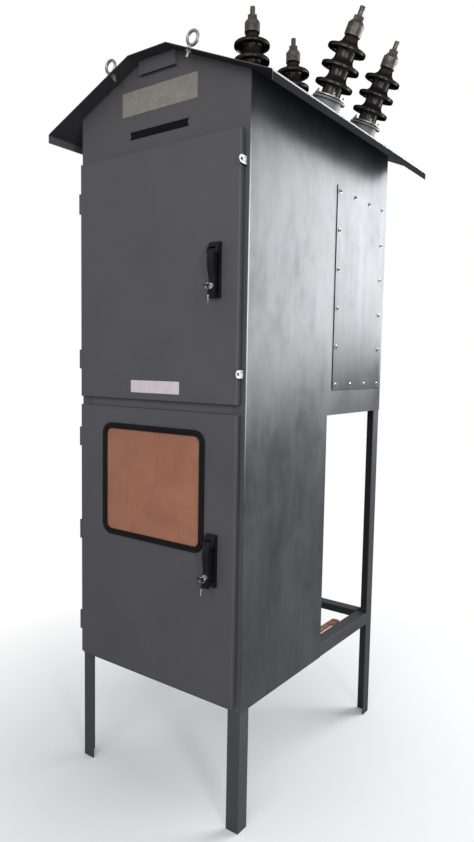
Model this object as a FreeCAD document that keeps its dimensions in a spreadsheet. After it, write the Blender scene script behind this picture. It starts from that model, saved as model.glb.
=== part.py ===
import FreeCAD, Part
import math
import os
import re

import Sketcher

# Outdoor switchgear kiosk: a sheet steel cabinet on an angle frame, with a meter compartment
# below, a high-voltage compartment above and three pairs of bushings on its folded roof.
# Millimetres and degrees. The origin lies on the ground, X runs to the right as one faces the
# doors, Y to the rear and Z up. Heights are measured from the ground, depths from the front face.

DIMENSIONS = [
    ("body_width", 750, "over the side walls"),
    ("body_depth", 1000, "from the front face to the rear wall"),
    ("front_setback", 515, "from the front face back to the origin"),
    ("leg_clear", 415, "from the ground to the underside of the body"),
    ("wall_sheet", 2, "gauge of the walls"),
    ("floor_sheet", 3, "gauge of the floors"),
    ("angle_leg", 50, "leg of the frame's angle section"),
    ("angle_gauge", 5, "thickness of the frame's angle section"),
    ("angle_root", 6, "inner root radius of the frame's angle section"),
    ("lower_depth", 530, "depth of the meter compartment"),
    ("bay_drop", 29, "from the lower door's top down to the upper compartment's underside"),
    ("gable_rise", 298, "from the upper door's top to the roof's flat middle"),
    ("flat_width", 168, "width of the roof's flat middle"),
    ("roof_slope", 23.5, "fall of the roof's sides, in degrees"),
    ("roof_sheet", 2, "gauge of the roof"),
    ("side_overhang", 115, "roof past the side walls"),
    ("front_overhang", 61, "roof past the front face"),
    ("rear_overhang", 129, "roof past the rear wall"),
    ("eave_lip", 31, "height of the turned-down eave"),
    ("door_margin", 18, "from a door's edge to the side of the body"),
    ("door_sill", 20, "from the underside of the body to the lower door"),
    ("door_lap", 32, "a door's cover over the frame above and below its opening"),
    ("door_between", 30, "from the lower door to the upper door"),
    ("lower_door_height", 949, "height of the lower door"),
    ("upper_door_height", 833, "height of the upper door"),
    ("door_pan", 20, "depth of a door's folded pan"),
    ("door_gap", 5, "from a shut door to the front face"),
    ("door_sheet", 2, "gauge of the doors"),
    ("door_bend", 3, "outer bend radius round a door's face"),
    ("hinge_offset", 9, "from a door's edge out to its hinge pin"),
    ("hinge_radius", 7, "outside of a hinge knuckle"),
    ("hinge_pin_radius", 4, "hinge pin"),
    ("hinge_play", 0.05, "running clearance round a hinge pin"),
    ("hinge_length", 70, "both knuckles of a hinge"),
    ("pin_short", 4, "from the top of a hinge down to the end of its pin"),
    ("lower_hinge_inset", 121, "from the lower door's end to the middle of its outer hinge"),
    ("upper_hinge_inset", 136, "from the upper door's end to the middle of its hinge"),
    ("knuckle_gap", 0.5, "between the two knuckles"),
    ("hinge_tab", 6, "thickness of a hinge's tabs"),
    ("window_margin", 122, "from the lower door's sides to the window's rubber"),
    ("window_height", 405, "over the window's rubber"),
    ("window_drop", 58, "from the lower door's top to the window's rubber"),
    ("window_corner", 42, "outer corner radius of the rubber"),
    ("rubber_width", 20, "visible width of the rubber"),
    ("rubber_proud", 7, "the rubber in front of the door"),
    ("rubber_lap", 12, "the rubber's lap over the door sheet"),
    ("rubber_hold", 9, "the rubber's lap behind the door sheet"),
    ("rubber_back", 6, "thickness of the rubber's rear lip"),
    ("rubber_round", 3, "rounding of the rubber's front edges"),
    ("pane_gauge", 4, "thickness of the window pane"),
    ("pane_seat", 6, "the pane's edge inside the rubber"),
    ("handle_inset", 86, "from a door's free edge to the handle's middle"),
    ("handle_width", 42, "handle plate"),
    ("handle_height", 172, "handle plate"),
    ("handle_plate", 8, "thickness of the handle plate"),
    ("handle_floor", 3, "thickness of the plate behind its dish"),
    ("handle_corner", 3, "corner radius of the handle plate"),
    ("handle_pivot", 58, "from the handle's middle up to the lever's pin"),
    ("dish_foot", 19, "from the plate's lower edge up to its dish"),
    ("cheek_front", 12, "from the lever's pin to the front of the cheeks"),
    ("cheek_drop", 9, "from the lever's pin to the foot of the cheeks"),
    ("cheek_gap", 1, "between the lever and a cheek"),
    ("head_gap", 4, "between the lever's top and the plate's head"),
    ("lever_width", 24, "width of the lever"),
    ("lever_length", 144, "from the lever's pin to its lower end"),
    ("lever_back", 6, "from the lever's pin to its back"),
    ("lever_gap", 5, "round the lever inside the dish"),
    ("lever_head", 8, "from the lever's pin to its top"),
    ("lever_brow", 9, "from the lever's pin to its front at the top"),
    ("hump_front", 19, "from the lever's pin to the front of its hump"),
    ("hump_top", 20, "from the lever's pin down to its hump"),
    ("hump_foot", 46, "from the lever's pin down to the end of its hump"),
    ("hump_round", 12, "rounding of the lever's hump"),
    ("grip_front", 9, "from the lever's pin to the front of its grip"),
    ("grip_drop", 84, "from the lever's pin down to its grip"),
    ("grip_length", 26, "the lever's thin lower end"),
    ("tip_front", 7, "from the lever's pin to the front of its lower end"),
    ("lever_pin_radius", 3, "lever pin"),
    ("lever_play", 0.05, "running clearance round the lever pin"),
    ("lower_lever_turn", 6, "how far the lower lever stands out, in degrees"),
    ("lock_drop", 108, "from the lever's pin down to its lock"),
    ("lock_radius", 9, "lock cylinder"),
    ("lock_proud", 4, "lock cylinder in front of the lever"),
    ("key_neck", 8, "from the lock to the key's bow"),
    ("key_root", 2, "a key's blade inside its bow"),
    ("key_bow", 24, "width of a key's bow"),
    ("key_gauge", 3, "thickness of a key's bow"),
    ("key_hole", 2, "radius of the hole in a key's bow"),
    ("key_hole_inset", 6, "from the middle of a key's bow to its hole"),
    ("key_blade", 2.2, "thickness of a key's blade"),
    ("key_blade_width", 7, "width of a key's blade"),
    ("key_length", 24, "length of the hanging key's blade"),
    ("key_ring", 9, "middle radius of the ring between the keys"),
    ("key_wire", 1, "radius of that ring's wire"),
    ("ring_hang", 3, "from the key in the lock down to the ring's middle"),
    ("ring_turn", 36, "how far the ring is turned from the door's plane, in degrees"),
    ("lug_reach", 45, "padlock lug in front of the front face"),
    ("lug_height", 26, "padlock lug"),
    ("lug_gauge", 3, "thickness of a padlock lug"),
    ("lug_round", 12, "corner radius at a padlock lug's end"),
    ("lug_hole_radius", 4.5, "hole of a padlock lug"),
    ("lug_inset", 96, "from the upper door's ends to the padlock lugs"),
    ("panel_rear", 28, "from the access panel to the rear wall's face"),
    ("panel_width", 412, "access panel"),
    ("panel_height", 759, "access panel"),
    ("panel_rise", 93, "from the upper compartment's underside to the access panel"),
    ("panel_gauge", 3, "thickness of the access panel"),
    ("panel_lap", 38, "the access panel's lap round its opening"),
    ("hood_margin", 4, "from the sides of the roof's flat middle to the vent hood"),
    ("hood_drop", 48, "vent hood below the roof's flat middle"),
    ("hood_proud", 14, "vent hood in front of the gable"),
    ("bushing_side", 320, "from the middle of the roof to a side bushing's foot"),
    ("bushing_first", 527, "from the front face to the first row of bushings"),
    ("bushing_pitch", 305, "between the rows of bushings"),
    ("turret_radius", 50, "tube under a bushing"),
    ("turret_height", 60, "tube under a bushing"),
    ("turret_gauge", 3, "wall of that tube"),
    ("turret_mouth", 30, "radius of the hole in the flange"),
    ("turret_flange_radius", 62, "flange on the tube"),
    ("turret_flange", 6, "thickness of the flange"),
    ("porcelain_foot_radius", 42, "foot of the porcelain"),
    ("porcelain_foot", 5, "height of the porcelain's foot"),
    ("porcelain_barrel", 36, "radius of the porcelain under its sheds"),
    ("porcelain_core", 34.5, "radius of the porcelain between its sheds"),
    ("porcelain_neck", 24, "radius of the porcelain's neck"),
    ("porcelain_height", 214, "height of the porcelain"),
    ("shed_radius", 70.5, "outside of a shed"),
    ("shed_lip", 4, "thickness of a shed's lip"),
    ("shed_drop", 9, "drip lip below a shed's rim"),
    ("shed_skirt", 15, "from a shed's rim in to its inner skirt"),
    ("skirt_drop", 5.5, "inner skirt below a shed's rim"),
    ("shed_rise", 30, "from a shed's rim up to its root"),
    ("shed_first", 49, "from the porcelain's foot to the lowest shed's rim"),
    ("shed_pitch", 60, "between the sheds"),
    ("shed_count", 3, "sheds on a bushing"),
    ("clamp_radius", 57, "clamp ring"),
    ("clamp_gauge", 4, "thickness of the clamp ring"),
    ("clamp_play", 1, "between the clamp ring and the porcelain"),
    ("cap_radius", 30, "metal cap"),
    ("cap_height", 51, "metal cap"),
    ("cap_shoulder", 13, "height of the cap's shoulder"),
    ("nut_radius", 20, "terminal nut over its corners"),
    ("nut_height", 14, "terminal nut"),
    ("stud_radius", 10, "terminal stud"),
    ("stud_height", 33.5, "terminal stud above its nut"),
    ("stud_bevel", 1.5, "bevel of the stud's end"),
    ("eye_side", 168, "from the middle of the roof to an eye bolt"),
    ("eye_front", 44, "from the front face forward to the front eye bolts"),
    ("eye_rear", 44, "from the rear wall back to the rear eye bolts"),
    ("eye_ring", 21, "middle radius of an eye bolt's ring"),
    ("eye_wire", 5, "radius of an eye bolt's ring section"),
    ("eye_shank", 5, "radius of an eye bolt's shank"),
    ("eye_play", 0.5, "clearance of an eye bolt in the roof"),
    ("eye_neck", 6, "from the roof to the foot of the ring"),
    ("eye_tail", 22, "shank below the roof"),
    ("eye_nut_radius", 9.5, "eye bolt nut over its corners"),
    ("eye_nut", 8, "thickness of an eye bolt nut"),
    ("earth_width", 30, "copper earthing bar"),
    ("earth_gauge", 4, "copper earthing bar"),
    ("earth_reach", 262, "earthing bar behind the meter compartment"),
    ("earth_drop", 34, "turned-down end of the earthing bar"),
    ("earth_inset", 67, "from the side wall to the middle of the earthing bar"),
    ("earth_rise", 50.5, "from the underside of the body to the earthing bar"),
    ("earth_hole_radius", 5.5, "hole in the earthing bar"),
    ("earth_hole_inset", 26, "from the bar's rear end to its hole"),
]

doc = FreeCAD.newDocument("kiosk")
dims = doc.addObject("Spreadsheet::Sheet", "Dims")
for row, (alias, size, note) in enumerate(DIMENSIONS, start=1):
    dims.set(f"A{row}", alias)
    dims.set(f"B{row}", str(size))
    dims.set(f"C{row}", note)
    dims.setAlias(f"B{row}", alias)
doc.recompute()


def bound(text):
    """Point the plain names of a formula at the sheet's cells."""
    return re.sub(r"\b[a-z]+(?:_[a-z]+)+\b", r"Dims.\g<0>", str(text))


def value(text):
    """The present value of a formula."""
    return float(dims.evalExpression(bound(text)))


# Places that several pieces share, written as formulas of the driving dimensions.
FRONT = "(-front_setback)"
REAR = "(body_depth - front_setback)"
INNER = "(body_width / 2 - wall_sheet)"
OPENING = "(body_width / 2 - wall_sheet - angle_leg)"
DOOR_HALF = "(body_width / 2 - door_margin)"
LOWER_DOOR_FOOT = "(leg_clear + door_sill)"
LOWER_DOOR_TOP = "(leg_clear + door_sill + lower_door_height)"
UPPER_DOOR_FOOT = "(leg_clear + door_sill + lower_door_height + door_between)"
UPPER_DOOR_TOP = "(leg_clear + door_sill + lower_door_height + door_between + upper_door_height)"
BAY_TOP = f"({LOWER_DOOR_TOP} - bay_drop)"
ROOF_TOP = f"({UPPER_DOOR_TOP} + gable_rise)"
FLAT_INSIDE = "(flat_width / 2 - roof_sheet * tan(roof_slope / 2))"
GABLE_FOOT = f"({UPPER_DOOR_TOP} - door_lap)"
RAIL_TOP = "(leg_clear + angle_leg)"
EAVE_X = "(body_width / 2 + side_overhang)"
DOOR_BACK = f"({FRONT} - door_gap)"
DOOR_FACE = f"({FRONT} - door_gap - door_pan)"
HINGE_X = f"(-{DOOR_HALF} - hinge_offset)"
HINGE_Y = f"({DOOR_BACK} - door_pan / 2)"
HANDLE_X = f"({DOOR_HALF} - handle_inset)"
LEVER_PIN_Y = f"({DOOR_FACE} - handle_floor - lever_gap - lever_back)"
WINDOW_HALF = f"({DOOR_HALF} - window_margin)"
WINDOW_MIDDLE = "(lower_door_height - window_drop - window_height / 2)"
PANE_EDGE = "(rubber_width - pane_seat)"
LOCK_FACE = "(grip_front + lock_proud)"
BUSHING_SEAT = "(turret_height + turret_flange)"


def roof_outside(x):
    """Height of the roof's upper face over a place on its right slope."""
    return f"({ROOF_TOP} - ({x} - flat_width / 2) * tan(roof_slope))"


def roof_inside(x):
    """Height of the roof's lower face over a place on its right slope."""
    return f"({roof_outside(x)} - roof_sheet / cos(roof_slope))"


WALL_TOP = roof_inside("body_width / 2")

NODES = []


def node(piece, label):
    """Name a finished piece and hand it out."""
    piece.Label = label
    NODES.append(piece)
    return piece


def place(piece, x, y, z):
    for axis, text in (("x", x), ("y", y), ("z", z)):
        piece.setExpression(f"Placement.Base.{axis}", bound(text))


def lean(piece, angle, axis=(0, 1, 0)):
    """Turn a piece about an axis through its own origin."""
    turn = FreeCAD.Rotation(FreeCAD.Vector(*axis), value(angle))
    piece.Placement = FreeCAD.Placement(piece.Placement.Base, turn)
    piece.setExpression("Placement.Rotation.Angle", bound(angle))


def new_body(name):
    return doc.addObject("PartDesign::Body", name)


def origin_feature(body, role):
    return next(feature for feature in body.Origin.OriginFeatures if feature.Role == role)


def new_sketch(body, plane):
    sketch = body.newObject("Sketcher::SketchObject", body.Name + "_outline")
    sketch.AttachmentSupport = [(origin_feature(body, plane), "")]
    sketch.MapMode = "FlatFace"
    return sketch


def tie(sketch, item, end, x, y):
    """Hold a point of a sketch at a place given by two formulas."""
    for kind, axis, text in (("DistanceX", -2, x), ("DistanceY", -1, y)):
        if str(text) == "0":
            sketch.addConstraint(Sketcher.Constraint("PointOnObject", item, end, axis))
        else:
            number = sketch.addConstraint(Sketcher.Constraint(kind, -1, 1, item, end, value(text)))
            sketch.setExpression(f"Constraints[{number}]", bound(text))


def polygon(sketch, corners):
    """Draw a closed outline through corners given as pairs of formulas."""
    spots = [FreeCAD.Vector(value(x), value(y), 0) for x, y in corners]
    lines = []
    for spot, following in zip(spots, spots[1:] + spots[:1]):
        lines.append(sketch.addGeometry(Part.LineSegment(spot, following), False))
    for line, following, corner in zip(lines, lines[1:] + lines[:1], corners):
        sketch.addConstraint(Sketcher.Constraint("Coincident", line, 2, following, 1))
        tie(sketch, line, 1, *corner)


def box_outline(x_low, x_high, y_low, y_high):
    return [(x_low, y_low), (x_high, y_low), (x_high, y_high), (x_low, y_high)]


def rectangle(sketch, x_low, x_high, y_low, y_high):
    polygon(sketch, box_outline(x_low, x_high, y_low, y_high))


def circle(sketch, x, y, radius):
    centre = FreeCAD.Vector(value(x), value(y), 0)
    item = sketch.addGeometry(Part.Circle(centre, FreeCAD.Vector(0, 0, 1), value(radius)), False)
    tie(sketch, item, 3, x, y)
    number = sketch.addConstraint(Sketcher.Constraint("Radius", item, value(radius)))
    sketch.setExpression(f"Constraints[{number}]", bound(radius))


def extrude(body, kind, sketch, length, back=False, both=False):
    """Add a pad, or cut a pocket, from a sketch."""
    feature = body.newObject("PartDesign::" + kind, body.Name + "_" + kind.lower())
    feature.Profile = sketch
    feature.setExpression("Length", bound(length))
    feature.Reversed = back
    if both:
        feature.SideType = "Symmetric"
    sketch.Visibility = False
    return feature


def revolve(body, sketch):
    feature = body.newObject("PartDesign::Revolution", body.Name + "_turn")
    feature.Profile = sketch
    feature.ReferenceAxis = (sketch, ["V_Axis"])
    feature.Angle = 360
    return feature


def near(one, other):
    """Whether two lengths are the same."""
    return abs(one - other) < 0.001


def at_depth(depth):
    """A test for edges that lie in the plane at one depth."""
    return lambda edge: near(edge.BoundBox.YMin, depth) and near(edge.BoundBox.YMax, depth)


def round_edges(body, feature, radius, pick):
    """Round those edges of a feature that a test picks."""
    doc.recompute()
    names = [f"Edge{number}" for number, edge in enumerate(feature.Shape.Edges, start=1) if pick(edge)]
    fillet = body.newObject("PartDesign::Fillet", body.Name + "_round")
    fillet.Base = (feature, names)
    fillet.setExpression("Radius", bound(radius))
    return fillet


def plate(name, plane, corners, gauge, x, y, z, back=False, holes=()):
    """A flat sheet cut to an outline, with polygonal holes."""
    body = new_body(name)
    sketch = new_sketch(body, plane)
    polygon(sketch, corners)
    for hole in holes:
        polygon(sketch, hole)
    extrude(body, "Pad", sketch, gauge, back)
    place(body, x, y, z)
    return body


def cylinder(name, radius, height, x, y, z):
    piece = doc.addObject("Part::Cylinder", name)
    piece.setExpression("Radius", bound(radius))
    piece.setExpression("Height", bound(height))
    place(piece, x, y, z)
    return piece


def block(name, length, width, height, x, y, z):
    piece = doc.addObject("Part::Box", name)
    for side, text in (("Length", length), ("Width", width), ("Height", height)):
        piece.setExpression(side, bound(text))
    place(piece, x, y, z)
    return piece


def torus(name, ring, wire, x, y, z):
    """A ring standing in the plane of X and Z."""
    piece = doc.addObject("Part::Torus", name)
    piece.setExpression("Radius1", bound(ring))
    piece.setExpression("Radius2", bound(wire))
    place(piece, x, y, z)
    lean(piece, "90", (1, 0, 0))
    return piece


def fuse(name, pieces):
    whole = doc.addObject("Part::MultiFuse", name)
    whole.Shapes = pieces
    whole.Refine = True
    return whole


def cut(name, base, tool):
    rest = doc.addObject("Part::Cut", name)
    rest.Base = base
    rest.Tool = tool
    return rest


def gather(name, pieces):
    """Put like pieces of one body into one node as separate solids."""
    group = doc.addObject("Part::Compound", name)
    group.Links = pieces
    return group


def hexagon(name, radius, height, z):
    prism = doc.addObject("Part::Prism", name)
    prism.Polygon = 6
    prism.setExpression("Circumradius", bound(radius))
    prism.setExpression("Height", bound(height))
    place(prism, "0", "0", z)
    return prism


SIDES = (("left", -1), ("right", 1))
ENDS = (("front", 1), ("rear", -1))


def root_edges(body, feature, far):
    """Round the inner root of an angle section along its whole length."""
    def is_root(edge):
        middle = edge.BoundBox.Center
        return edge.Length > value("angle_leg") * 2 and far(middle)
    return round_edges(body, feature, "angle_root", is_root)


def corner_posts():
    """Angle posts from the ground to the eaves, inside the corners of the sheets."""
    posts = []
    for end_name, end in ENDS:
        corner_y = f"{FRONT} + wall_sheet" if end == 1 else f"{REAR} - wall_sheet"
        for side_name, side in SIDES:
            body = new_body(f"{end_name}_{side_name}_post")
            sketch = new_sketch(body, "XY_Plane")
            polygon(sketch, [
                ("0", "0"),
                (f"{-side} * angle_leg", "0"),
                (f"{-side} * angle_leg", f"{end} * angle_gauge"),
                (f"{-side} * angle_gauge", f"{end} * angle_gauge"),
                (f"{-side} * angle_gauge", f"{end} * angle_leg"),
                ("0", f"{end} * angle_leg"),
            ])
            post = extrude(body, "Pad", sketch, WALL_TOP)
            gauge = value("angle_gauge")
            root_edges(body, post, lambda spot: near(abs(spot.x), gauge) and near(abs(spot.y), gauge))
            place(body, f"{side} * {INNER}", corner_y, "0")
            posts.append(body)
    node(gather("post_set", posts), "corner_posts")


def base_rails():
    """Angle rails between the posts, under the lower floor and behind it."""
    profile = [
        ("0", "0"), ("0", "angle_leg"), ("-angle_leg", "angle_leg"),
        ("-angle_leg", "angle_leg - angle_gauge"), ("-angle_gauge", "angle_leg - angle_gauge"),
        ("-angle_gauge", "0"),
    ]
    gauge = value("angle_gauge")
    depth = value("angle_leg") - gauge
    rails = []
    for side_name, side in SIDES:
        body = new_body(f"{side_name}_rail")
        sketch = new_sketch(body, "XZ_Plane")
        polygon(sketch, [(f"{side} * ({x})" if x != "0" else "0", z) for x, z in profile])
        rail = extrude(body, "Pad", sketch, "body_depth - 2 * (wall_sheet + angle_leg)", back=True)
        root_edges(body, rail, lambda spot: near(abs(spot.x), gauge) and near(spot.z, depth))
        place(body, f"{side} * {INNER}", f"{FRONT} + wall_sheet + angle_leg", "leg_clear")
        rails.append(body)
    node(gather("side_rail_pair", rails), "side_base_rails")
    body = new_body("rear_rail")
    sketch = new_sketch(body, "YZ_Plane")
    polygon(sketch, profile)
    rail = extrude(body, "Pad", sketch, f"2 * {OPENING}")
    root_edges(body, rail, lambda spot: near(abs(spot.y), gauge) and near(spot.z, depth))
    place(body, f"-{OPENING}", f"{REAR} - wall_sheet", "leg_clear")
    node(body, "rear_base_rail")


def side_walls():
    """L-shaped side sheets: full depth above, the meter compartment's depth below."""
    outline = [
        ("0", "leg_clear"), ("lower_depth", "leg_clear"), ("lower_depth", BAY_TOP),
        ("body_depth", BAY_TOP), ("body_depth", WALL_TOP), ("0", WALL_TOP),
    ]
    panel_end = "(body_depth - panel_rear)"
    panel_start = "(body_depth - panel_rear - panel_width)"
    panel_foot = f"({BAY_TOP} + panel_rise)"
    panel_top = f"({BAY_TOP} + panel_rise + panel_height)"
    panel = box_outline(panel_start, panel_end, panel_foot, panel_top)
    opening = box_outline(f"{panel_start} + panel_lap", f"{panel_end} - panel_lap",
                          f"{panel_foot} + panel_lap", f"{panel_top} - panel_lap")
    panels = []
    for side_name, side in SIDES:
        x = "-body_width / 2" if side == -1 else INNER
        wall = plate(f"{side_name}_sheet", "YZ_Plane", outline, "wall_sheet", x, FRONT, "0", holes=[opening])
        node(wall, f"{side_name}_wall")
        x = "body_width / 2" if side == 1 else "-body_width / 2 - panel_gauge"
        panels.append(plate(f"{side_name}_panel", "YZ_Plane", panel, "panel_gauge", x, FRONT, "0"))
    node(gather("panel_pair", panels), "access_panels")


def gable_outline(foot):
    return [
        (f"-{INNER}", foot), (INNER, foot), (INNER, roof_inside(INNER)),
        (FLAT_INSIDE, f"{ROOF_TOP} - roof_sheet"), (f"-{FLAT_INSIDE}", f"{ROOF_TOP} - roof_sheet"),
        (f"-{INNER}", roof_inside(INNER)),
    ]


def end_walls():
    """The rear sheets and the front gable."""
    behind_front = f"{FRONT} + wall_sheet"
    gable = plate("gable_sheet", "XZ_Plane", gable_outline(GABLE_FOOT), "wall_sheet", "0", behind_front, "0")
    node(gable, "front_gable")
    rear = plate("rear_sheet", "XZ_Plane", gable_outline(BAY_TOP), "wall_sheet", "0", REAR, "0")
    node(rear, "rear_wall")
    notched = [
        (f"-{OPENING}", "leg_clear"), (OPENING, "leg_clear"), (OPENING, RAIL_TOP), (INNER, RAIL_TOP),
        (INNER, BAY_TOP), (f"-{INNER}", BAY_TOP), (f"-{INNER}", RAIL_TOP), (f"-{OPENING}", RAIL_TOP),
    ]
    lower = plate("lower_rear_sheet", "XZ_Plane", notched, "wall_sheet", "0", f"{FRONT} + lower_depth", "0")
    node(lower, "lower_rear_wall")


def front_frame():
    """Stiles and rails of sheet round the two door openings."""
    for side_name, side in SIDES:
        inner, outer = f"{side} * {OPENING}", f"{side} * {INNER}"
        stile = plate(f"{side_name}_stile", "XZ_Plane", box_outline(inner, outer, "leg_clear", GABLE_FOOT),
                      "wall_sheet", "0", f"{FRONT} + wall_sheet", "0")
        node(stile, f"front_{side_name}_stile")
    rails = (
        ("front_bottom_rail", "leg_clear", f"({LOWER_DOOR_FOOT} + door_lap)"),
        ("front_middle_rail", f"({LOWER_DOOR_TOP} - door_lap)", f"({UPPER_DOOR_FOOT} + door_lap)"),
    )
    for label, foot, top in rails:
        rail = plate(label + "_sheet", "XZ_Plane", box_outline(f"-{OPENING}", OPENING, foot, top),
                     "wall_sheet", "0", f"{FRONT} + wall_sheet", "0")
        node(rail, label)


def floors():
    """Floor sheets, notched round the posts."""
    back = "(body_depth - 2 * wall_sheet)"
    upper = [
        (f"-{OPENING}", "0"), (OPENING, "0"), (OPENING, "angle_leg"), (INNER, "angle_leg"),
        (INNER, f"{back} - angle_leg"), (OPENING, f"{back} - angle_leg"), (OPENING, back),
        (f"-{OPENING}", back), (f"-{OPENING}", f"{back} - angle_leg"), (f"-{INNER}", f"{back} - angle_leg"),
        (f"-{INNER}", "angle_leg"), (f"-{OPENING}", "angle_leg"),
    ]
    behind_front = f"{FRONT} + wall_sheet"
    sheet = plate("upper_floor_sheet", "XY_Plane", upper, "floor_sheet", "0", behind_front, BAY_TOP)
    node(sheet, "upper_floor")
    back = "(lower_depth - 2 * wall_sheet)"
    lower = [
        (f"-{OPENING}", "0"), (OPENING, "0"), (OPENING, "angle_leg"), (INNER, "angle_leg"), (INNER, back),
        (f"-{INNER}", back), (f"-{INNER}", "angle_leg"), (f"-{OPENING}", "angle_leg"),
    ]
    sheet = plate("lower_floor_sheet", "XY_Plane", lower, "floor_sheet", "0", behind_front, RAIL_TOP)
    node(sheet, "lower_floor")


def roof():
    """One sheet folded to a flat middle, two slopes and turned-down eaves."""
    inner_eave = f"({EAVE_X} - roof_sheet)"
    lip_foot = f"({roof_outside(EAVE_X)} - eave_lip)"
    right = [
        ("flat_width / 2", ROOF_TOP), (EAVE_X, roof_outside(EAVE_X)), (EAVE_X, lip_foot),
        (inner_eave, lip_foot), (inner_eave, roof_inside(inner_eave)),
        (FLAT_INSIDE, f"{ROOF_TOP} - roof_sheet"),
    ]
    left = [(f"-({x})", z) for x, z in reversed(right)]
    length = "(front_overhang + body_depth + rear_overhang)"
    sheet = plate("roof_sheet_folded", "XZ_Plane", right + left, length, "0", f"{REAR} + rear_overhang", "0")
    drills = []
    for name, side, y in eye_places():
        drill = cylinder(name + "_drill", "eye_shank + eye_play", "roof_sheet * 3", "0", "0", "0")
        place(drill, f"{side} * (eye_side - roof_sheet * 2 * sin(roof_slope))", y,
              f"{roof_outside('eye_side')} - roof_sheet * 2 * cos(roof_slope)")
        lean(drill, f"{side} * roof_slope")
        drills.append(drill)
    node(cut("drilled_roof", sheet, fuse("roof_drills", drills)), "roof")


def eye_places():
    """Name, side and depth of each eye bolt."""
    for end_name, end in ENDS:
        y = f"({FRONT} - eye_front)" if end == 1 else f"({REAR} + eye_rear)"
        for side_name, side in SIDES:
            yield f"{end_name}_{side_name}_eye", side, y


def vent_hood():
    """A shallow hood on the front gable, open below."""
    body = new_body("hood")
    half = "(flat_width / 2 - hood_margin)"
    sketch = new_sketch(body, "XZ_Plane")
    rectangle(sketch, f"-{half}", half, "0", "hood_drop - roof_sheet")
    extrude(body, "Pad", sketch, "hood_proud")
    hollow = new_sketch(body, "XZ_Plane")
    rectangle(hollow, f"-{half} + wall_sheet", f"{half} - wall_sheet", "0",
              "hood_drop - roof_sheet - wall_sheet")
    extrude(body, "Pocket", hollow, "hood_proud - wall_sheet", back=True)
    place(body, "0", FRONT, f"{ROOF_TOP} - hood_drop")
    node(body, "vent_hood")


def door_pan(label, foot, height, window):
    """A folded door pan, open to the rear, with or without a window opening."""
    body = new_body(label + "_pan")
    face = new_sketch(body, "XZ_Plane")
    rectangle(face, f"-{DOOR_HALF}", DOOR_HALF, "0", height)
    pan = extrude(body, "Pad", face, "door_pan")
    front = -value("door_pan")
    round_edges(body, pan, "door_bend", at_depth(front))
    hollow = new_sketch(body, "XZ_Plane")
    rectangle(hollow, f"-{DOOR_HALF} + door_sheet", f"{DOOR_HALF} - door_sheet",
              "door_sheet", f"{height} - door_sheet")
    extrude(body, "Pocket", hollow, "door_pan - door_sheet", back=True)
    if window:
        hole = new_sketch(body, "XZ_Plane")
        window_outline(hole, "rubber_lap")
        extrude(body, "Pocket", hole, "door_pan", back=True)
    place(body, "0", DOOR_BACK, foot)
    node(body, label)


def window_outline(sketch, inset):
    """The window's round-cornered outline, this far inside the rubber's own."""
    radius = f"(window_corner - ({inset}))"
    corners = ((1, 1), (-1, 1), (-1, -1), (1, -1))
    arcs = []
    for number, (across, up) in enumerate(corners):
        x = f"{across} * ({WINDOW_HALF} - window_corner)"
        z = f"{WINDOW_MIDDLE} + {up} * (window_height / 2 - window_corner)"
        ring = Part.Circle(FreeCAD.Vector(value(x), value(z), 0), FreeCAD.Vector(0, 0, 1), value(radius))
        start = number * math.pi / 2
        arc = sketch.addGeometry(Part.ArcOfCircle(ring, start, start + math.pi / 2), False)
        tie(sketch, arc, 3, x, z)
        size = sketch.addConstraint(Sketcher.Constraint("Radius", arc, value(radius)))
        sketch.setExpression(f"Constraints[{size}]", bound(radius))
        arcs.append(arc)
    for arc, following in zip(arcs, arcs[1:] + arcs[:1]):
        side = Part.LineSegment(sketch.getPoint(arc, 2), sketch.getPoint(following, 1))
        line = sketch.addGeometry(side, False)
        sketch.addConstraint(Sketcher.Constraint("Tangent", arc, 2, line, 1))
        sketch.addConstraint(Sketcher.Constraint("Tangent", line, 2, following, 1))


def rubber_layer(body, outer_inset, inner_inset, gauge, offset):
    """One layer of the window's rubber section."""
    sketch = new_sketch(body, "XZ_Plane")
    sketch.setExpression("AttachmentOffset.Base.z", bound(offset))
    window_outline(sketch, outer_inset)
    window_outline(sketch, inner_inset)
    return extrude(body, "Pad", sketch, gauge)


def window():
    """Pane and the rubber section that holds it in the lower door."""
    body = new_body("rubber_section")
    lip = rubber_layer(body, "0", "rubber_width", "rubber_proud", "door_pan")
    front = -value("door_pan + rubber_proud")
    round_edges(body, lip, "rubber_round", at_depth(front))
    rubber_layer(body, "rubber_lap", PANE_EDGE, "door_sheet", "door_pan - door_sheet")
    behind = "rubber_lap - rubber_hold"
    rubber_layer(body, behind, PANE_EDGE, "pane_gauge - door_sheet", "door_pan - pane_gauge")
    rubber_layer(body, behind, "rubber_width", "rubber_back", "door_pan - pane_gauge - rubber_back")
    place(body, "0", DOOR_BACK, LOWER_DOOR_FOOT)
    node(body, "window_rubber")
    body = new_body("pane")
    sketch = new_sketch(body, "XZ_Plane")
    window_outline(sketch, PANE_EDGE)
    extrude(body, "Pad", sketch, "pane_gauge")
    place(body, "0", f"{DOOR_FACE} + pane_gauge", LOWER_DOOR_FOOT)
    node(body, "window_pane")


def hinge_heights(foot, height, inset, count):
    """Heights of the middles of a door's hinges."""
    low, high = f"({foot} + {inset})", f"({foot} + {height} - {inset})"
    return [f"({low} + ({high} - {low}) * {number} / {count - 1})" for number in range(count)]


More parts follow.
